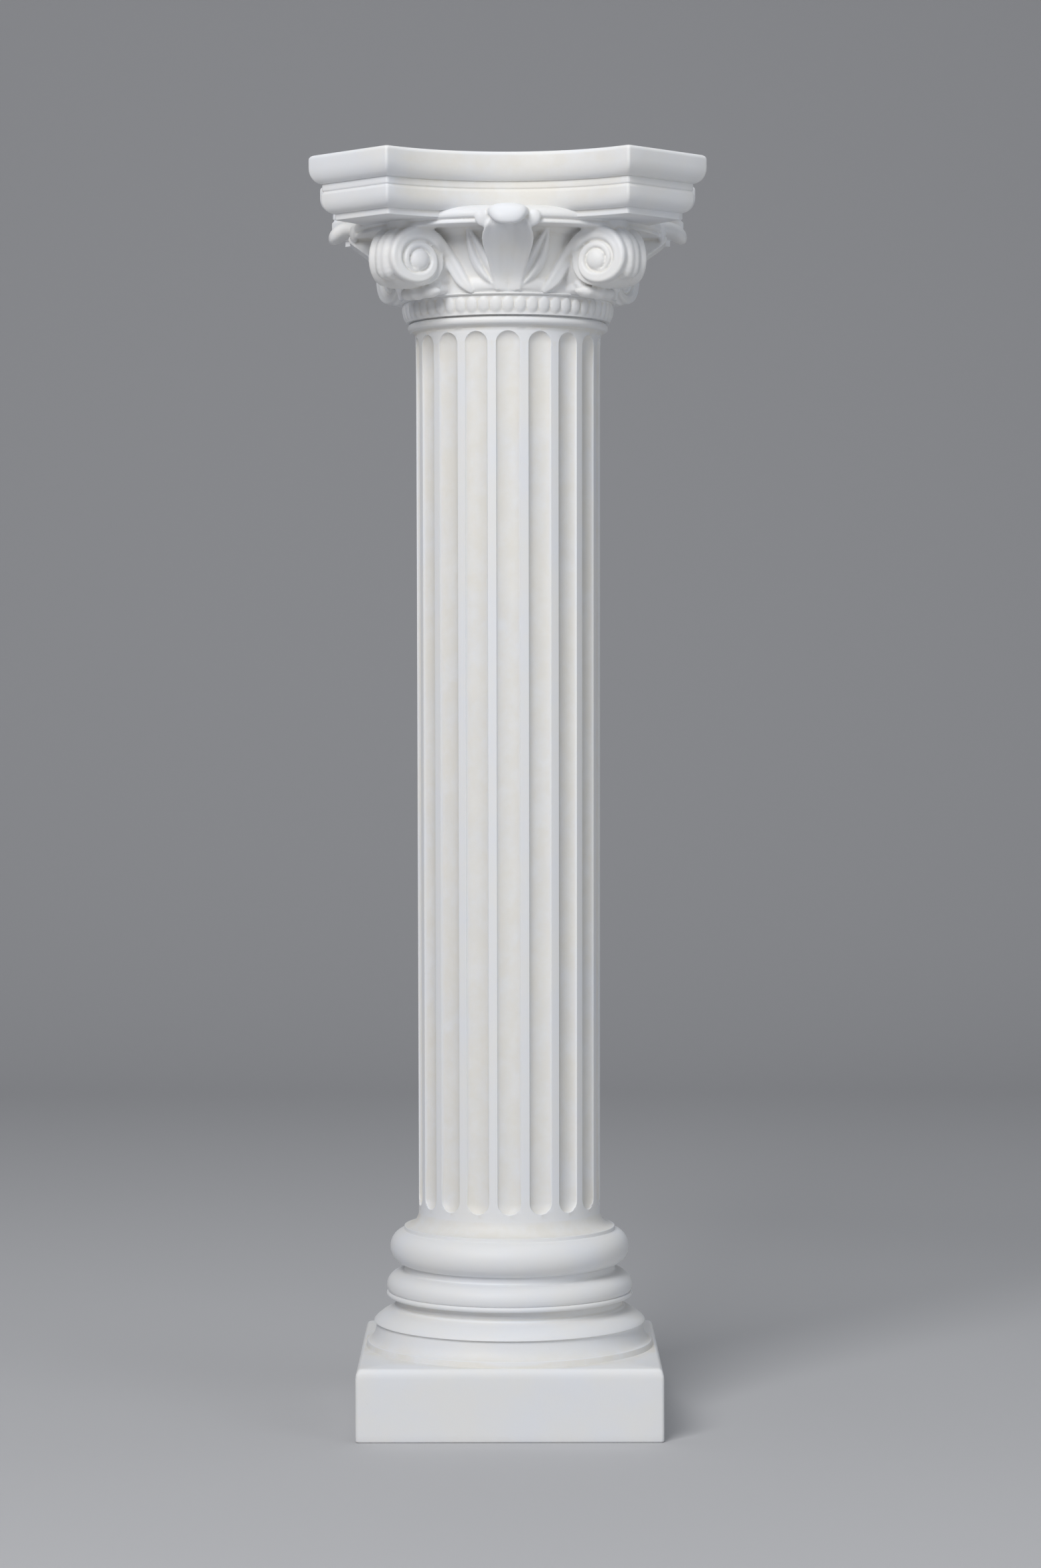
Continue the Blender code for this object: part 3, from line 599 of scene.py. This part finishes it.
def loft(sections, start=0):
    """Points and faces of a closed loft through sections of equal count."""
    count = len(sections[0])
    points = [p for section in sections for p in section]
    faces = []
    for row in range(len(sections) - 1):
        for i in range(count):
            j = (i + 1) % count
            low = start + row * count
            faces.append((low + i, low + j, low + count + j, low + count + i))
    last = start + (len(sections) - 1) * count
    faces.append(tuple(start + i for i in reversed(range(count))))
    faces.append(tuple(last + i for i in range(count)))
    return points, faces


def tube_section(centre, side, rise, half_width, half_height, points=16, power=1.0):
    """A round section; a power under 1 makes it fuller towards its corners."""
    section = []
    for i in range(points):
        a = 2 * pi * i / points
        x = abs(cos(a)) ** power * (1 if cos(a) >= 0 else -1)
        y = abs(sin(a)) ** power * (1 if sin(a) >= 0 else -1)
        section.append(centre + side * (half_width * x) + rise * (half_height * y))
    return section


def blob(centre, half_sizes, axes, steps=8):
    """A closed egg shape with its three half sizes along the three axes."""
    sections = []
    for i in range(steps + 1):
        a = pi * (i + 0.25) / (steps + 0.5) - pi / 2
        middle = centre + axes[0] * (half_sizes[0] * sin(a))
        wide = half_sizes[1] * cos(a)
        thick = half_sizes[2] * cos(a)
        sections.append(tube_section(middle, axes[1], axes[2], wide, thick))
    return sections


def smooth_line(spots, steps):
    """A smooth curve through the given spots (Catmull-Rom), steps pieces between each two."""
    ends = [spots[0] * 2 - spots[1]] + list(spots) + [spots[-1] * 2 - spots[-2]]
    line = []
    for a, b, c, d in zip(ends, ends[1:], ends[2:], ends[3:]):
        for i in range(steps):
            t = i / steps
            bend = a * 2 - b * 5 + c * 4 - d
            twist = b * 3 - a - c * 3 + d
            line.append((b * 2 + (c - a) * t + bend * t ** 2 + twist * t ** 3) / 2)
    line.append(spots[-1])
    return line


# Bell and lip

def bell_radius(z):
    """The bell widens slowly at first and faster under its lip."""
    share = min(1.0, max(0.0, (z - BELL_FOOT) / BELL_HEIGHT))
    return BELL_FOOT_RADIUS + (BELL_HEAD_RADIUS - BELL_FOOT_RADIUS) * share ** BELL_LEANING


def bell_profile():
    low = BELL_FOOT - GROOVE
    pairs = [(BELL_FOOT_RADIUS, low)]
    under = ABACUS_FOOT - LIP_DROP
    rise = under - BELL_FOOT
    heights = [BELL_FOOT + rise * i / BELL_STEPS for i in range(1, BELL_STEPS)]
    pairs += [(bell_radius(z), z) for z in heights]
    pairs += [(BELL_HEAD_RADIUS + 1, under - 2.0), (BELL_HEAD_RADIUS + 4, under), (LIP_FILLET_RADIUS, under)]
    top = under + LIP_FILLET_HEIGHT
    pairs += [(LIP_FILLET_RADIUS, top)]
    inner = LIP_FILLET_RADIUS - GROOVE * 1.2
    pairs += [(inner, top + GROOVE * 0.3), (inner, top + GROOVE)]
    pairs += [(LIP_RADIUS - 0.4, top + GROOVE * 1.3), (LIP_RADIUS, top + 3 * GROOVE)]
    high = under + LIP_HEIGHT
    pairs += [(LIP_RADIUS - way_in, high - drop) for way_in, drop in LIP_TOP]
    return soften(pairs, GROOVE / 4)


# Corner: scrolls back to back, the leaf over them and the leaf under them

def corner_point(out, across, z):
    """A point of the front left corner: out along the diagonal, across it towards the front face."""
    return Vector(((-out + across) / sqrt(2), (-out - across) / sqrt(2), z))


def corner_way(out, across, z):
    """A direction in the same corner frame."""
    return corner_point(out, across, z).normalized()


SCROLL_EYE = corner_point(SCROLL_OUT, SCROLL_ACROSS, EYE_HEIGHT)
OUTWARD = corner_way(cos(SCROLL_TURN), -sin(SCROLL_TURN), 0)
FACING = corner_way(sin(SCROLL_TURN), cos(SCROLL_TURN), 0)


def scroll_edge(turn):
    """Radius of the scroll's outer edge; turn is 0 at the top and runs outwards and down."""
    return float(np.interp(turn / pi * 180, [a for a, _ in SCROLL_EDGES], [r for _, r in SCROLL_EDGES]))


def scroll_spot(turn):
    """Middle of the band at that turn, and half its width."""
    edge = scroll_edge(turn)
    half = max(0.5, (edge - scroll_edge(turn + 2 * pi) - SCROLL_GROOVE) / 2)
    radius = edge - half
    rise = SCROLL_STEP * max(0.0, turn) / pi
    spot = SCROLL_EYE + OUTWARD * (radius * sin(turn)) + UP * (radius * cos(turn)) + FACING * rise
    return spot, half


def band_section(spot, along, normal, half, height, depth):
    """The band's section: nearly flat between two rounded shoulders, with its root sunk by depth."""
    side = along.cross(normal).normalized()
    rise = side.cross(along).normalized()
    outline = list(BAND_SHAPE) + [(-x, y) for x, y in reversed(BAND_SHAPE[:-1])]
    section = [spot + side * (half * x) + rise * (height * y) for x, y in outline]
    section += [spot + side * half - rise * depth, spot - side * half - rise * depth]
    return section


def scroll_band():
    """The stem that springs from the foot of the bell, passes over the scroll and coils into the eye."""
    spots = []
    for x, height, half in STEM:
        z = BELL_FOOT + height
        radius = bell_radius(z) + STEM_STAND
        spot = Vector((x, -sqrt(radius * radius - x * x), z))
        spots.append((spot, Vector((x, -radius, 0)).normalized(), half))
    turn = SCROLL_START
    while turn < SCROLL_END:
        spot, half = scroll_spot(turn)
        spots.append((spot, FACING, half))
        turn += SCROLL_TURN_STEP
    line = smooth_line([s[0] for s in spots], 3)
    normals = smooth_line([s[1] for s in spots], 3)
    halves = smooth_line([Vector((s[2], 0, 0)) for s in spots], 3)
    sections = []
    for i, spot in enumerate(line):
        along = (line[min(i + 1, len(line) - 1)] - line[max(i - 1, 0)]).normalized()
        half = halves[i].x
        height = SCROLL_RISE * min(1.0, half / 4.0)
        normal = normals[i].normalized()
        sections.append(band_section(spot, along, normal, half * BAND_FILL, height, BAND_ROOT))
    return sections


def scroll_drum():
    """The body of the scroll behind its band."""
    sections = []
    for depth, shrink in DRUM_STATIONS:
        section = []
        for i in range(DRUM_POINTS):
            turn = 2 * pi * i / DRUM_POINTS
            radius = scroll_edge(turn) - DRUM_MARGIN - shrink
            share = max(0.0, turn - DRUM_CLOSING) / radians(42)
            radius += (scroll_edge(0) - scroll_edge(2 * pi)) * share ** 2
            spot = SCROLL_EYE + OUTWARD * (radius * sin(turn)) + UP * (radius * cos(turn)) + FACING * depth
            section.append(spot)
        sections.append(section)
    return sections


def scroll_eye():
    """The flat round boss that the coils close on."""
    centre = SCROLL_EYE + FACING * EYE_STAND
    return blob(centre, (EYE_RADIUS * EYE_FLATNESS, EYE_RADIUS, EYE_RADIUS), (FACING, OUTWARD, UP))


def corner_rim():
    """The leaf over the edge between two scrolls: two rows of lobes with a vein between them."""
    line = smooth_line([Vector((out, 0, height)) for out, height in RIM_LINE], 7)
    length = [0.0]
    for a, b in zip(line, line[1:]):
        length.append(length[-1] + (b - a).length)
    lobes = length[-1] / RIM_LOBES
    sections = []
    for i, spot in enumerate(line):
        along = (line[min(i + 1, len(line) - 1)] - line[max(i - 1, 0)]).normalized()
        out = Vector((-along.z, 0, along.x))
        if out.x < 0:
            out = -out
        lobe = abs(sin(pi * length[i] / lobes))
        share = length[i] / length[-1]
        half = RIM_HALF - 2.0 * max(0.0, 1 - share * 4) - 1.4 * max(0.0, share * 5 - 4)
        section = []
        for across in RIM_SHARES:
            swell = max(0.0, 1 - ((abs(across) - 0.52) / 0.5) ** 2)
            height = -2.6 * abs(across) ** 3 + 1.0 * swell * (0.6 + 0.4 * lobe) - 0.5
            at = spot + out * height
            section.append(corner_point(at.x, across * half * (0.96 + 0.05 * lobe), BELL_FOOT + at.z))
        inner = spot - out * RIM_DEPTH
        section.append(corner_point(inner.x, half * 0.9, BELL_FOOT + inner.z))
        section.append(corner_point(inner.x, -half * 0.9, BELL_FOOT + inner.z))
        sections.append(section)
    return sections


def corner_block():
    """The stone between the two scrolls of a corner, back to the bell."""
    sections = []
    for depth in BLOCK_SHARES:
        section = []
        for i in range(BLOCK_POINTS):
            turn = 2 * pi * i / BLOCK_POINTS
            radius = BLOCK_RADIUS - 1.6 * abs(depth)
            out = SCROLL_OUT - 2.0 + radius * sin(turn)
            z = EYE_HEIGHT + radius * cos(turn)
            flank = BLOCK_HALF + (RIM_OUT - out) * sin(SCROLL_TURN)
            section.append(corner_point(out, flank * depth, z))
        sections.append(section)
    return sections


def corner_web():
    """The stone that joins the scrolls to the bell and to the abacus."""
    sections = []
    for height, reach, half in WEB_STATIONS:
        z = BELL_FOOT + height
        section = [corner_point(WEB_ROOT, -half - 8, z)]
        for i in range(NOSE_POINTS):
            a = pi * i / (NOSE_POINTS - 1) - pi / 2
            section.append(corner_point(reach - half * 0.6 + half * 0.6 * cos(a), half * sin(a), z))
        section.append(corner_point(WEB_ROOT, half + 8, z))
        sections.append(section)
    return sections


def lower_leaf():
    """The curled tip of the leaf under each corner, which overhangs the bead row."""
    sections = []
    for i in range(CURL_SECTIONS):
        share = 2 * i / (CURL_SECTIONS - 1) - 1
        size = max(0.14, 1 - abs(share) ** 4) ** 0.5
        bend = 4.0 * share * share
        lobe = 0.55 * cos(3 * pi * share)
        out = CURL_REACH - bend
        z = BELL_FOOT - 0.4 + 0.9 * abs(share)
        centre = corner_point(out, CURL_HALF_LENGTH * share, z)
        wide = (CURL_HALF_WIDTH + lobe) * size
        high = (CURL_HALF_HEIGHT + lobe) * size
        sections.append(tube_section(centre, corner_way(1, 0, 0), UP, wide, high))
    return sections


def lower_leaf_root():
    """What carries the curled tip back to the bell."""
    sections = []
    for height, reach, half in CURL_ROOT_STATIONS:
        z = BELL_FOOT + height
        section = [corner_point(CURL_ROOT, -half, z)]
        for i in range(NOSE_POINTS):
            a = pi * i / (NOSE_POINTS - 1) - pi / 2
            section.append(corner_point(
                reach - CURL_ROOT_ROUND + CURL_ROOT_ROUND * cos(a), half * sin(a), z,
            ))
        section.append(corner_point(CURL_ROOT, half, z))
        sections.append(section)
    return sections


def corner_fill():
    """The stone between the curled tip and the scrolls over it."""
    axes = (corner_way(1, 0, 0), corner_way(0, 1, 0), UP)
    return blob(corner_point(CORNER_FILL_OUT, 0, BELL_FOOT + CORNER_FILL_HEIGHT), CORNER_FILL_HALVES, axes)


# Face: the scooped leaf with its curled tip, and the two narrow leaves beside it

def face_leaf():
    """The scooped leaf in the middle of a face: its edges lean out and its middle is hollowed and ribbed."""
    line = smooth_line([Vector(p) for p in LEAF_EDGE], 4)
    sections = []
    for i, at in enumerate(line):
        height, edge, half = at
        share = i / (len(line) - 1)
        scoop = LEAF_SCOOP_AT_FOOT + LEAF_SCOOP_GAIN * share
        section = []
        for step in range(LEAF_POINTS + 1):
            across = 2 * step / LEAF_POINTS - 1
            lift = abs(across) ** LEAF_SCOOP_FULLNESS
            rib = LEAF_RIB * cos(across * pi * 4) * (1 - lift) * min(1.0, share * 3)
            vein = -LEAF_VEIN * exp(-(across / LEAF_VEIN_WIDTH) ** 2)
            roll = -LEAF_ROLL * max(0.0, (abs(across) - LEAF_ROLL_START) / (1 - LEAF_ROLL_START)) ** 2
            out = edge - scoop * (1 - lift) + rib + vein + roll
            section.append(Vector((across * half, -out, BELL_FOOT + height)))
        back = edge - LEAF_THICKNESS
        section.append(Vector((half * 0.9, -back, BELL_FOOT + height + 2.0)))
        section.append(Vector((half * 0.55, -LEAF_ROOT, BELL_FOOT + height + 3.0)))
        section.append(Vector((-half * 0.55, -LEAF_ROOT, BELL_FOOT + height + 3.0)))
        section.append(Vector((-half * 0.9, -back, BELL_FOOT + height + 2.0)))
        sections.append(section)
    return sections


def leaf_tip():
    """The tip of the scooped leaf, which curls out over its own hollow and hangs down."""
    line = smooth_line([Vector((out, 0, BELL_FOOT + height)) for out, height, _, _ in TIP_PATH], 4)
    sizes = smooth_line([Vector((wide, thick, 0)) for _, _, wide, thick in TIP_PATH], 4)
    sections = []
    for i, at in enumerate(line):
        along = line[min(i + 1, len(line) - 1)] - line[max(i - 1, 0)]
        along = Vector((0, -along.x, along.z)).normalized()
        side = Vector((1, 0, 0))
        rise = side.cross(along).normalized()
        centre = Vector((0, -at.x, at.z))
        sections.append(tube_section(centre, side, rise, sizes[i].x, sizes[i].y, TIP_POINTS, TIP_FULLNESS))
    return sections


def side_lobe():
    """A small lobe of the scooped leaf beside its tip."""
    tilt = Matrix.Rotation(LOBE_TILT, 3, "Y")
    axes = (tilt @ UP, tilt @ Vector((1, 0, 0)), Vector((0, 1, 0)))
    return blob(Vector((-LOBE_SIDE, -LOBE_REACH, BELL_FOOT + LOBE_HEIGHT)), LOBE_HALVES, axes)


def narrow_leaf():
    """A lens-shaped leaf with a vein, on each side of the scooped leaf."""
    foot = Vector((NARROW_FOOT[0], 0, BELL_FOOT + NARROW_FOOT[1]))
    tip = Vector((NARROW_TIP[0], 0, BELL_FOOT + NARROW_TIP[1]))
    way = (tip - foot).normalized()
    across_way = Vector((way.z, 0, -way.x))
    sections = []
    for i in range(NARROW_STEPS + 1):
        share = i / NARROW_STEPS
        middle = foot.lerp(tip, share) - across_way * (NARROW_BOW * sin(pi * share))
        half = NARROW_HALF * max(0.05, sin(pi * share ** 0.85)) ** 0.8
        radius = bell_radius(middle.z) + NARROW_STAND + NARROW_TIP_STAND * share ** 2
        section = []
        for a in NARROW_SHARES:
            swell = max(0.0, 1 - ((abs(a) - 0.5) / 0.52) ** 2)
            vein = NARROW_VEIN * exp(-(a / NARROW_VEIN_WIDTH) ** 2)
            lift = NARROW_RISE * swell * min(1.0, half / 4.5) - vein
            at = middle + across_way * (half * a)
            out = radius + lift
            section.append(Vector((at.x, -sqrt(max(1.0, out * out - at.x * at.x)), at.z)))
        for a in (1.0, -1.0):
            at = middle + across_way * (half * a)
            section.append(Vector((at.x, -sqrt((radius - NARROW_ROOT) ** 2 - at.x * at.x), at.z)))
        sections.append(section)
    return sections


def sheath():
    """The low sheath from which the stem and the narrow leaf spring."""
    sections = []
    for share in [i / SHEATH_STEPS for i in range(SHEATH_STEPS + 1)]:
        x = SHEATH_START - SHEATH_LENGTH * share
        half = SHEATH_LEAST_HALF + SHEATH_SWELL * sin(pi * min(1.0, share * 0.75))
        z = BELL_FOOT + SHEATH_LIFT + half * 0.75
        radius = bell_radius(z) + SHEATH_STAND
        centre = Vector((x, -sqrt(radius * radius - x * x), z))
        way_out = Vector((x, -radius, 0)).normalized()
        sections.append(tube_section(centre, way_out, UP, SHEATH_THICKNESS, half))
    return sections


# The two pieces

def add_around(points, faces, sections, mirrored):
    """Adds a loft in all four quarters, and its mirror image in each when asked."""
    for quarter in range(4):
        turn = Matrix.Rotation(pi / 2 * quarter, 3, "Z")
        for flip in (1, -1) if mirrored else (1,):
            placed = [[turn @ Vector((p.x * flip, p.y, p.z)) for p in section] for section in sections]
            more_points, more_faces = loft(placed, len(points))
            points += more_points
            faces += more_faces


def outward_faces(thing):
    """Turns every face outwards."""
    mesh = bmesh.new()
    mesh.from_mesh(thing.data)
    bmesh.ops.recalc_face_normals(mesh, faces=mesh.faces)
    mesh.to_mesh(thing.data)
    mesh.free()


def make_body():
    """Plinth, base, shaft and neck in one solid, and the abacus over them."""
    rings = plinth_rings()
    rings += [turned_ring(r, z) for r, z in base_profile()]
    rings += shaft_rings()
    rings += neck_rings()
    points, faces = stack(rings)
    more_points, more_faces = stack([abacus_ring(inset, z) for inset, z in abacus_profile()], len(points))
    body = mesh_object("column_body", points + more_points, faces + more_faces)
    body.data.shade_smooth()
    body.data.set_sharp_from_angle(angle=radians(38))
    return body


def make_carving():
    """Bell, leaves and scrolls, grown together as cast stone is."""
    points, faces = stack([turned_ring(r, z, 160) for r, z in bell_profile()])
    for sections, mirrored in (
        (corner_block(), False), (corner_rim(), False), (corner_web(), False), (lower_leaf(), False),
        (lower_leaf_root(), False), (corner_fill(), False), (face_leaf(), False), (leaf_tip(), False),
        (side_lobe(), True), (narrow_leaf(), True), (sheath(), True), (scroll_drum(), True),
        (scroll_band(), True), (scroll_eye(), True),
    ):
        add_around(points, faces, sections, mirrored)
    rough = mesh_object("capital_rough", points, faces)
    outward_faces(rough)
    grow = rough.modifiers.new("grow together", "REMESH")
    grow.mode = "VOXEL"
    grow.voxel_size = VOXEL * MM
    grow.adaptivity = 0.0
    soft = rough.modifiers.new("soften", "SMOOTH")
    soft.factor = 0.5
    soft.iterations = 8
    mesh = bpy.data.meshes.new_from_object(rough.evaluated_get(bpy.context.evaluated_depsgraph_get()))
    carving = bpy.data.objects.new("capital_carving", mesh)
    bpy.context.scene.collection.objects.link(carving)
    bpy.data.objects.remove(rough, do_unlink=True)
    count = sum(len(p.vertices) - 2 for p in mesh.polygons)
    if count > CARVING_TRIANGLES:
        thin = carving.modifiers.new("thin out", "DECIMATE")
        thin.ratio = CARVING_TRIANGLES / count
        mesh = bpy.data.meshes.new_from_object(carving.evaluated_get(bpy.context.evaluated_depsgraph_get()))
        carving.modifiers.clear()
        carving.data = mesh
    carving.data.shade_smooth()
    return carving


def mark_hollows(thing, rounds, reach):
    """Stores as the attribute hollow how deep each point lies in one: 0 on open faces, 1 at reach."""
    mesh = thing.data
    count = len(mesh.vertices)
    spots = np.empty(count * 3)
    mesh.vertices.foreach_get("co", spots)
    spots = spots.reshape(-1, 3)
    ways = np.empty(count * 3)
    mesh.vertices.foreach_get("normal", ways)
    ways = ways.reshape(-1, 3)
    pairs = np.empty(len(mesh.edges) * 2, dtype=np.int64)
    mesh.edges.foreach_get("vertices", pairs)
    pairs = pairs.reshape(-1, 2)
    near = np.bincount(pairs.ravel(), minlength=count).clip(1)
    soft = spots.copy()
    for _ in range(rounds):
        total = np.stack([
            np.bincount(pairs[:, 0], soft[pairs[:, 1], k], count)
            + np.bincount(pairs[:, 1], soft[pairs[:, 0], k], count)
            for k in range(3)
        ], axis=1)
        soft = soft * 0.5 + total / near[:, None] * 0.5
    depth = ((soft - spots) * ways).sum(axis=1) / (reach * MM)
    hollow_layer = mesh.attributes.new("hollow", "FLOAT", "POINT")
    hollow_layer.data.foreach_set("value", np.clip(depth, -1, 1).astype(np.float32))


# Stone

def stone_surface_group():
    """Cast marble's surface: cloudy tone, painted warm shade in the hollows, fine grain and small pits."""
    group = bpy.data.node_groups.new("cast marble surface", "ShaderNodeTree")
    face = group.interface
    for name, kind, value in (
        ("Stone", "NodeSocketColor", (0.82, 0.815, 0.80, 1)),
        ("Cool Stone", "NodeSocketColor", (0.80, 0.81, 0.83, 1)),
        ("Shade Colour", "NodeSocketColor", (0.74, 0.69, 0.58, 1)),
        ("Hollow", "NodeSocketFloat", 0.0),
        ("Shade Amount", "NodeSocketFloat", 0.42),
        ("Cloud Size", "NodeSocketFloat", 0.06),
        ("Grain Size", "NodeSocketFloat", 0.0016),
    ):
        socket = face.new_socket(name=name, in_out="INPUT", socket_type=kind)
        socket.default_value = value
    face.new_socket(name="Color", in_out="OUTPUT", socket_type="NodeSocketColor")
    face.new_socket(name="Roughness", in_out="OUTPUT", socket_type="NodeSocketFloat")
    face.new_socket(name="Height", in_out="OUTPUT", socket_type="NodeSocketFloat")
    nodes = group.nodes
    link = group.links.new

    def math(operation, a, b=None):
        node = nodes.new("ShaderNodeMath")
        node.operation = operation
        for slot, value in enumerate((a, b)):
            if value is None:
                continue
            if isinstance(value, (int, float)):
                node.inputs[slot].default_value = value
            else:
                link(value, node.inputs[slot])
        return node.outputs[0]

    def mix(amount, a, b):
        node = nodes.new("ShaderNodeMix")
        node.data_type = "RGBA"
        link(amount, node.inputs["Factor"])
        link(a, node.inputs["A"])
        link(b, node.inputs["B"])
        return node.outputs["Result"]

    def noise_at(where, scale, detail, roughness):
        node = nodes.new("ShaderNodeTexNoise")
        link(where, node.inputs["Vector"])
        link(scale, node.inputs["Scale"])
        node.inputs["Detail"].default_value = detail
        node.inputs["Roughness"].default_value = roughness
        return node.outputs["Fac"]

    def spread(value, low, high):
        node = nodes.new("ShaderNodeMapRange")
        link(value, node.inputs["Value"])
        node.inputs["From Min"].default_value = low
        node.inputs["From Max"].default_value = high
        return node.outputs["Result"]

    given = nodes.new("NodeGroupInput").outputs
    result = nodes.new("NodeGroupOutput").inputs
    where = nodes.new("ShaderNodeTexCoord").outputs["Object"]
    cloud = noise_at(where, math("DIVIDE", 1.0, given["Cloud Size"]), 3.0, 0.55)
    grain = noise_at(where, math("DIVIDE", 1.0, given["Grain Size"]), 4.0, 0.6)
    patch = noise_at(where, math("DIVIDE", 3.5, given["Cloud Size"]), 5.0, 0.6)
    tone = mix(spread(cloud, 0.38, 0.64), given["Stone"], given["Cool Stone"])
    # Painted shade: a warmer, darker colour mixed in where the surface lies deep in a hollow, in random
    # patches
    painted_shade = math("MULTIPLY", spread(given["Hollow"], 0.02, 0.75), given["Shade Amount"])
    painted_shade = math("MULTIPLY", painted_shade, spread(patch, 0.2, 0.6))
    toned = mix(painted_shade, tone, given["Shade Colour"])
    link(toned, result["Color"])
    link(math("ADD", 0.46, math("MULTIPLY", grain, 0.16)), result["Roughness"])
    pits = nodes.new("ShaderNodeTexVoronoi")
    link(where, pits.inputs["Vector"])
    link(math("DIVIDE", 0.22, given["Grain Size"]), pits.inputs["Scale"])
    pits.inputs["Randomness"].default_value = 1.0
    pit = math("MULTIPLY", spread(pits.outputs["Distance"], 0.0, 0.16), 0.35)
    rough = math("ADD", math("MULTIPLY", grain, 0.25), math("MULTIPLY", patch, 0.9))
    link(math("ADD", rough, pit), result["Height"])
    return group


def cast_marble(group):
    """White cast marble, a little translucent, with painted warm shade in its hollows."""
    material = bpy.data.materials.new("cast marble")
    material.use_nodes = True
    nodes = material.node_tree.nodes
    link = material.node_tree.links.new
    shader = nodes["Principled BSDF"]
    surface = nodes.new("ShaderNodeGroup")
    surface.node_tree = group
    # How deep each point lies in a hollow, which sets how much painted shade it gets
    hollow_depth = nodes.new("ShaderNodeAttribute")
    hollow_depth.attribute_name = "hollow"
    link(hollow_depth.outputs["Fac"], surface.inputs["Hollow"])
    link(surface.outputs["Color"], shader.inputs["Base Color"])
    link(surface.outputs["Roughness"], shader.inputs["Roughness"])
    bump = nodes.new("ShaderNodeBump")
    bump.inputs["Strength"].default_value = 0.22
    bump.inputs["Distance"].default_value = 0.0006
    link(surface.outputs["Height"], bump.inputs["Height"])
    link(bump.outputs["Normal"], shader.inputs["Normal"])
    shader.inputs["Subsurface Weight"].default_value = 0.12
    shader.inputs["Subsurface Radius"].default_value = (1.0, 0.85, 0.7)
    shader.inputs["Subsurface Scale"].default_value = 0.0015
    shader.inputs["Specular IOR Level"].default_value = 0.35
    return material


def plain_material(name, colour, roughness):
    """One even colour."""
    material = bpy.data.materials.new(name)
    material.use_nodes = True
    shader = material.node_tree.nodes["Principled BSDF"]
    shader.inputs["Base Color"].default_value = (*colour, 1)
    shader.inputs["Roughness"].default_value = roughness
    return material


# Floor, light and camera

def pale_floor():
    """A floor that turns up in a wide curve behind the column."""
    half_width = 6.0
    front = -7.0
    back = 4.0
    curve = 1.5
    curve_steps = 24
    height = 5.0
    outline = [(front, 0.0), (back - curve, 0.0)]
    for i in range(1, curve_steps + 1):
        a = pi / 2 * i / curve_steps
        outline.append((back - curve + curve * sin(a), curve * (1 - cos(a))))
    outline += [(back, height)]
    points = []
    for y, z in outline:
        points += [(-half_width, y, z), (half_width, y, z)]
    faces = [(2 * i, 2 * i + 1, 2 * i + 3, 2 * i + 2) for i in range(len(outline) - 1)]
    mesh = bpy.data.meshes.new("pale_floor")
    mesh.from_pydata(points, [], faces)
    mesh.shade_smooth()
    floor = bpy.data.objects.new("pale_floor", mesh)
    bpy.context.scene.collection.objects.link(floor)
    mesh.materials.append(plain_material("pale floor", (0.52, 0.52, 0.53), 0.85))


def soft_light(name, spot, aim, size, power, colour):
    """A broad light at spot, turned towards aim."""
    lamp = bpy.data.lights.new(name, "AREA")
    lamp.shape = "RECTANGLE"
    lamp.size, lamp.size_y = size
    lamp.energy = power
    lamp.color = colour
    thing = bpy.data.objects.new(name, lamp)
    thing.location = spot
    thing.rotation_euler = (Vector(aim) - Vector(spot)).to_track_quat("-Z", "Y").to_euler()
    bpy.context.scene.collection.objects.link(thing)


def studio_light():
    """A high front light, a cool side light, a light from above and a faint even glow."""
    soft_light("front light", (-1.4, -3.2, 3.0), aim=(0, 0, 0.6), size=(2.0, 2.0), power=128,
               colour=(0.995, 0.995, 1.0))
    soft_light("side light", (2.6, -2.2, 1.2), aim=(0, 0, 0.5), size=(1.6, 2.4), power=20,
               colour=(0.92, 0.96, 1.0))
    soft_light("top light", (0.2, 0.3, 3.2), aim=(0, 0, 0.6), size=(2.0, 2.0), power=20,
               colour=(0.95, 0.98, 1.0))
    world = bpy.data.worlds.new("studio air")
    world.use_nodes = True
    sky = world.node_tree.nodes["Background"]
    sky.inputs["Color"].default_value = (0.86, 0.9, 1.0, 1)
    sky.inputs["Strength"].default_value = 0.16
    bpy.context.scene.world = world


PHOTO_WIDTH = 1568
PHOTO_HEIGHT = 2362
FOCUS = 5850.0           # focal length in pixels of the photograph
HORIZON = 1040.0         # row of the photograph at the camera's own height
AXIS_COLUMN = 766.0      # column of the photograph where the shaft's axis runs
CAMERA_AWAY = 3.124
CAMERA_HEIGHT = 0.5824
CAMERA_ROLL = radians(0.1)


def photo_camera():
    """A level camera with the photograph's framing."""
    camera = bpy.data.cameras.new("camera")
    camera.sensor_fit = "VERTICAL"
    camera.sensor_height = 36.0
    camera.lens = FOCUS / PHOTO_HEIGHT * camera.sensor_height
    camera.shift_x = (PHOTO_WIDTH / 2 - AXIS_COLUMN) / PHOTO_HEIGHT
    camera.shift_y = (HORIZON - PHOTO_HEIGHT / 2) / PHOTO_HEIGHT
    camera.clip_end = 50.0
    thing = bpy.data.objects.new("camera", camera)
    turn = Matrix.Rotation(pi / 2, 4, "X") @ Matrix.Rotation(-CAMERA_ROLL, 4, "Z")
    thing.matrix_world = Matrix.Translation((0, -CAMERA_AWAY, CAMERA_HEIGHT)) @ turn
    bpy.context.scene.collection.objects.link(thing)
    bpy.context.scene.camera = thing
    bpy.context.scene.view_settings.view_transform = "Standard"


body = make_body()
carving = make_carving()
# The hollow depths drive the painted shade in the stone's colour
mark_hollows(body, rounds=12, reach=0.5)
mark_hollows(carving, rounds=40, reach=1.6)
marble = cast_marble(stone_surface_group())
for piece in (body, carving):
    piece.data.materials.clear()
    piece.data.materials.append(marble)
    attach(piece, "root")
    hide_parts("marble_column")
pale_floor()
studio_light()
photo_camera()
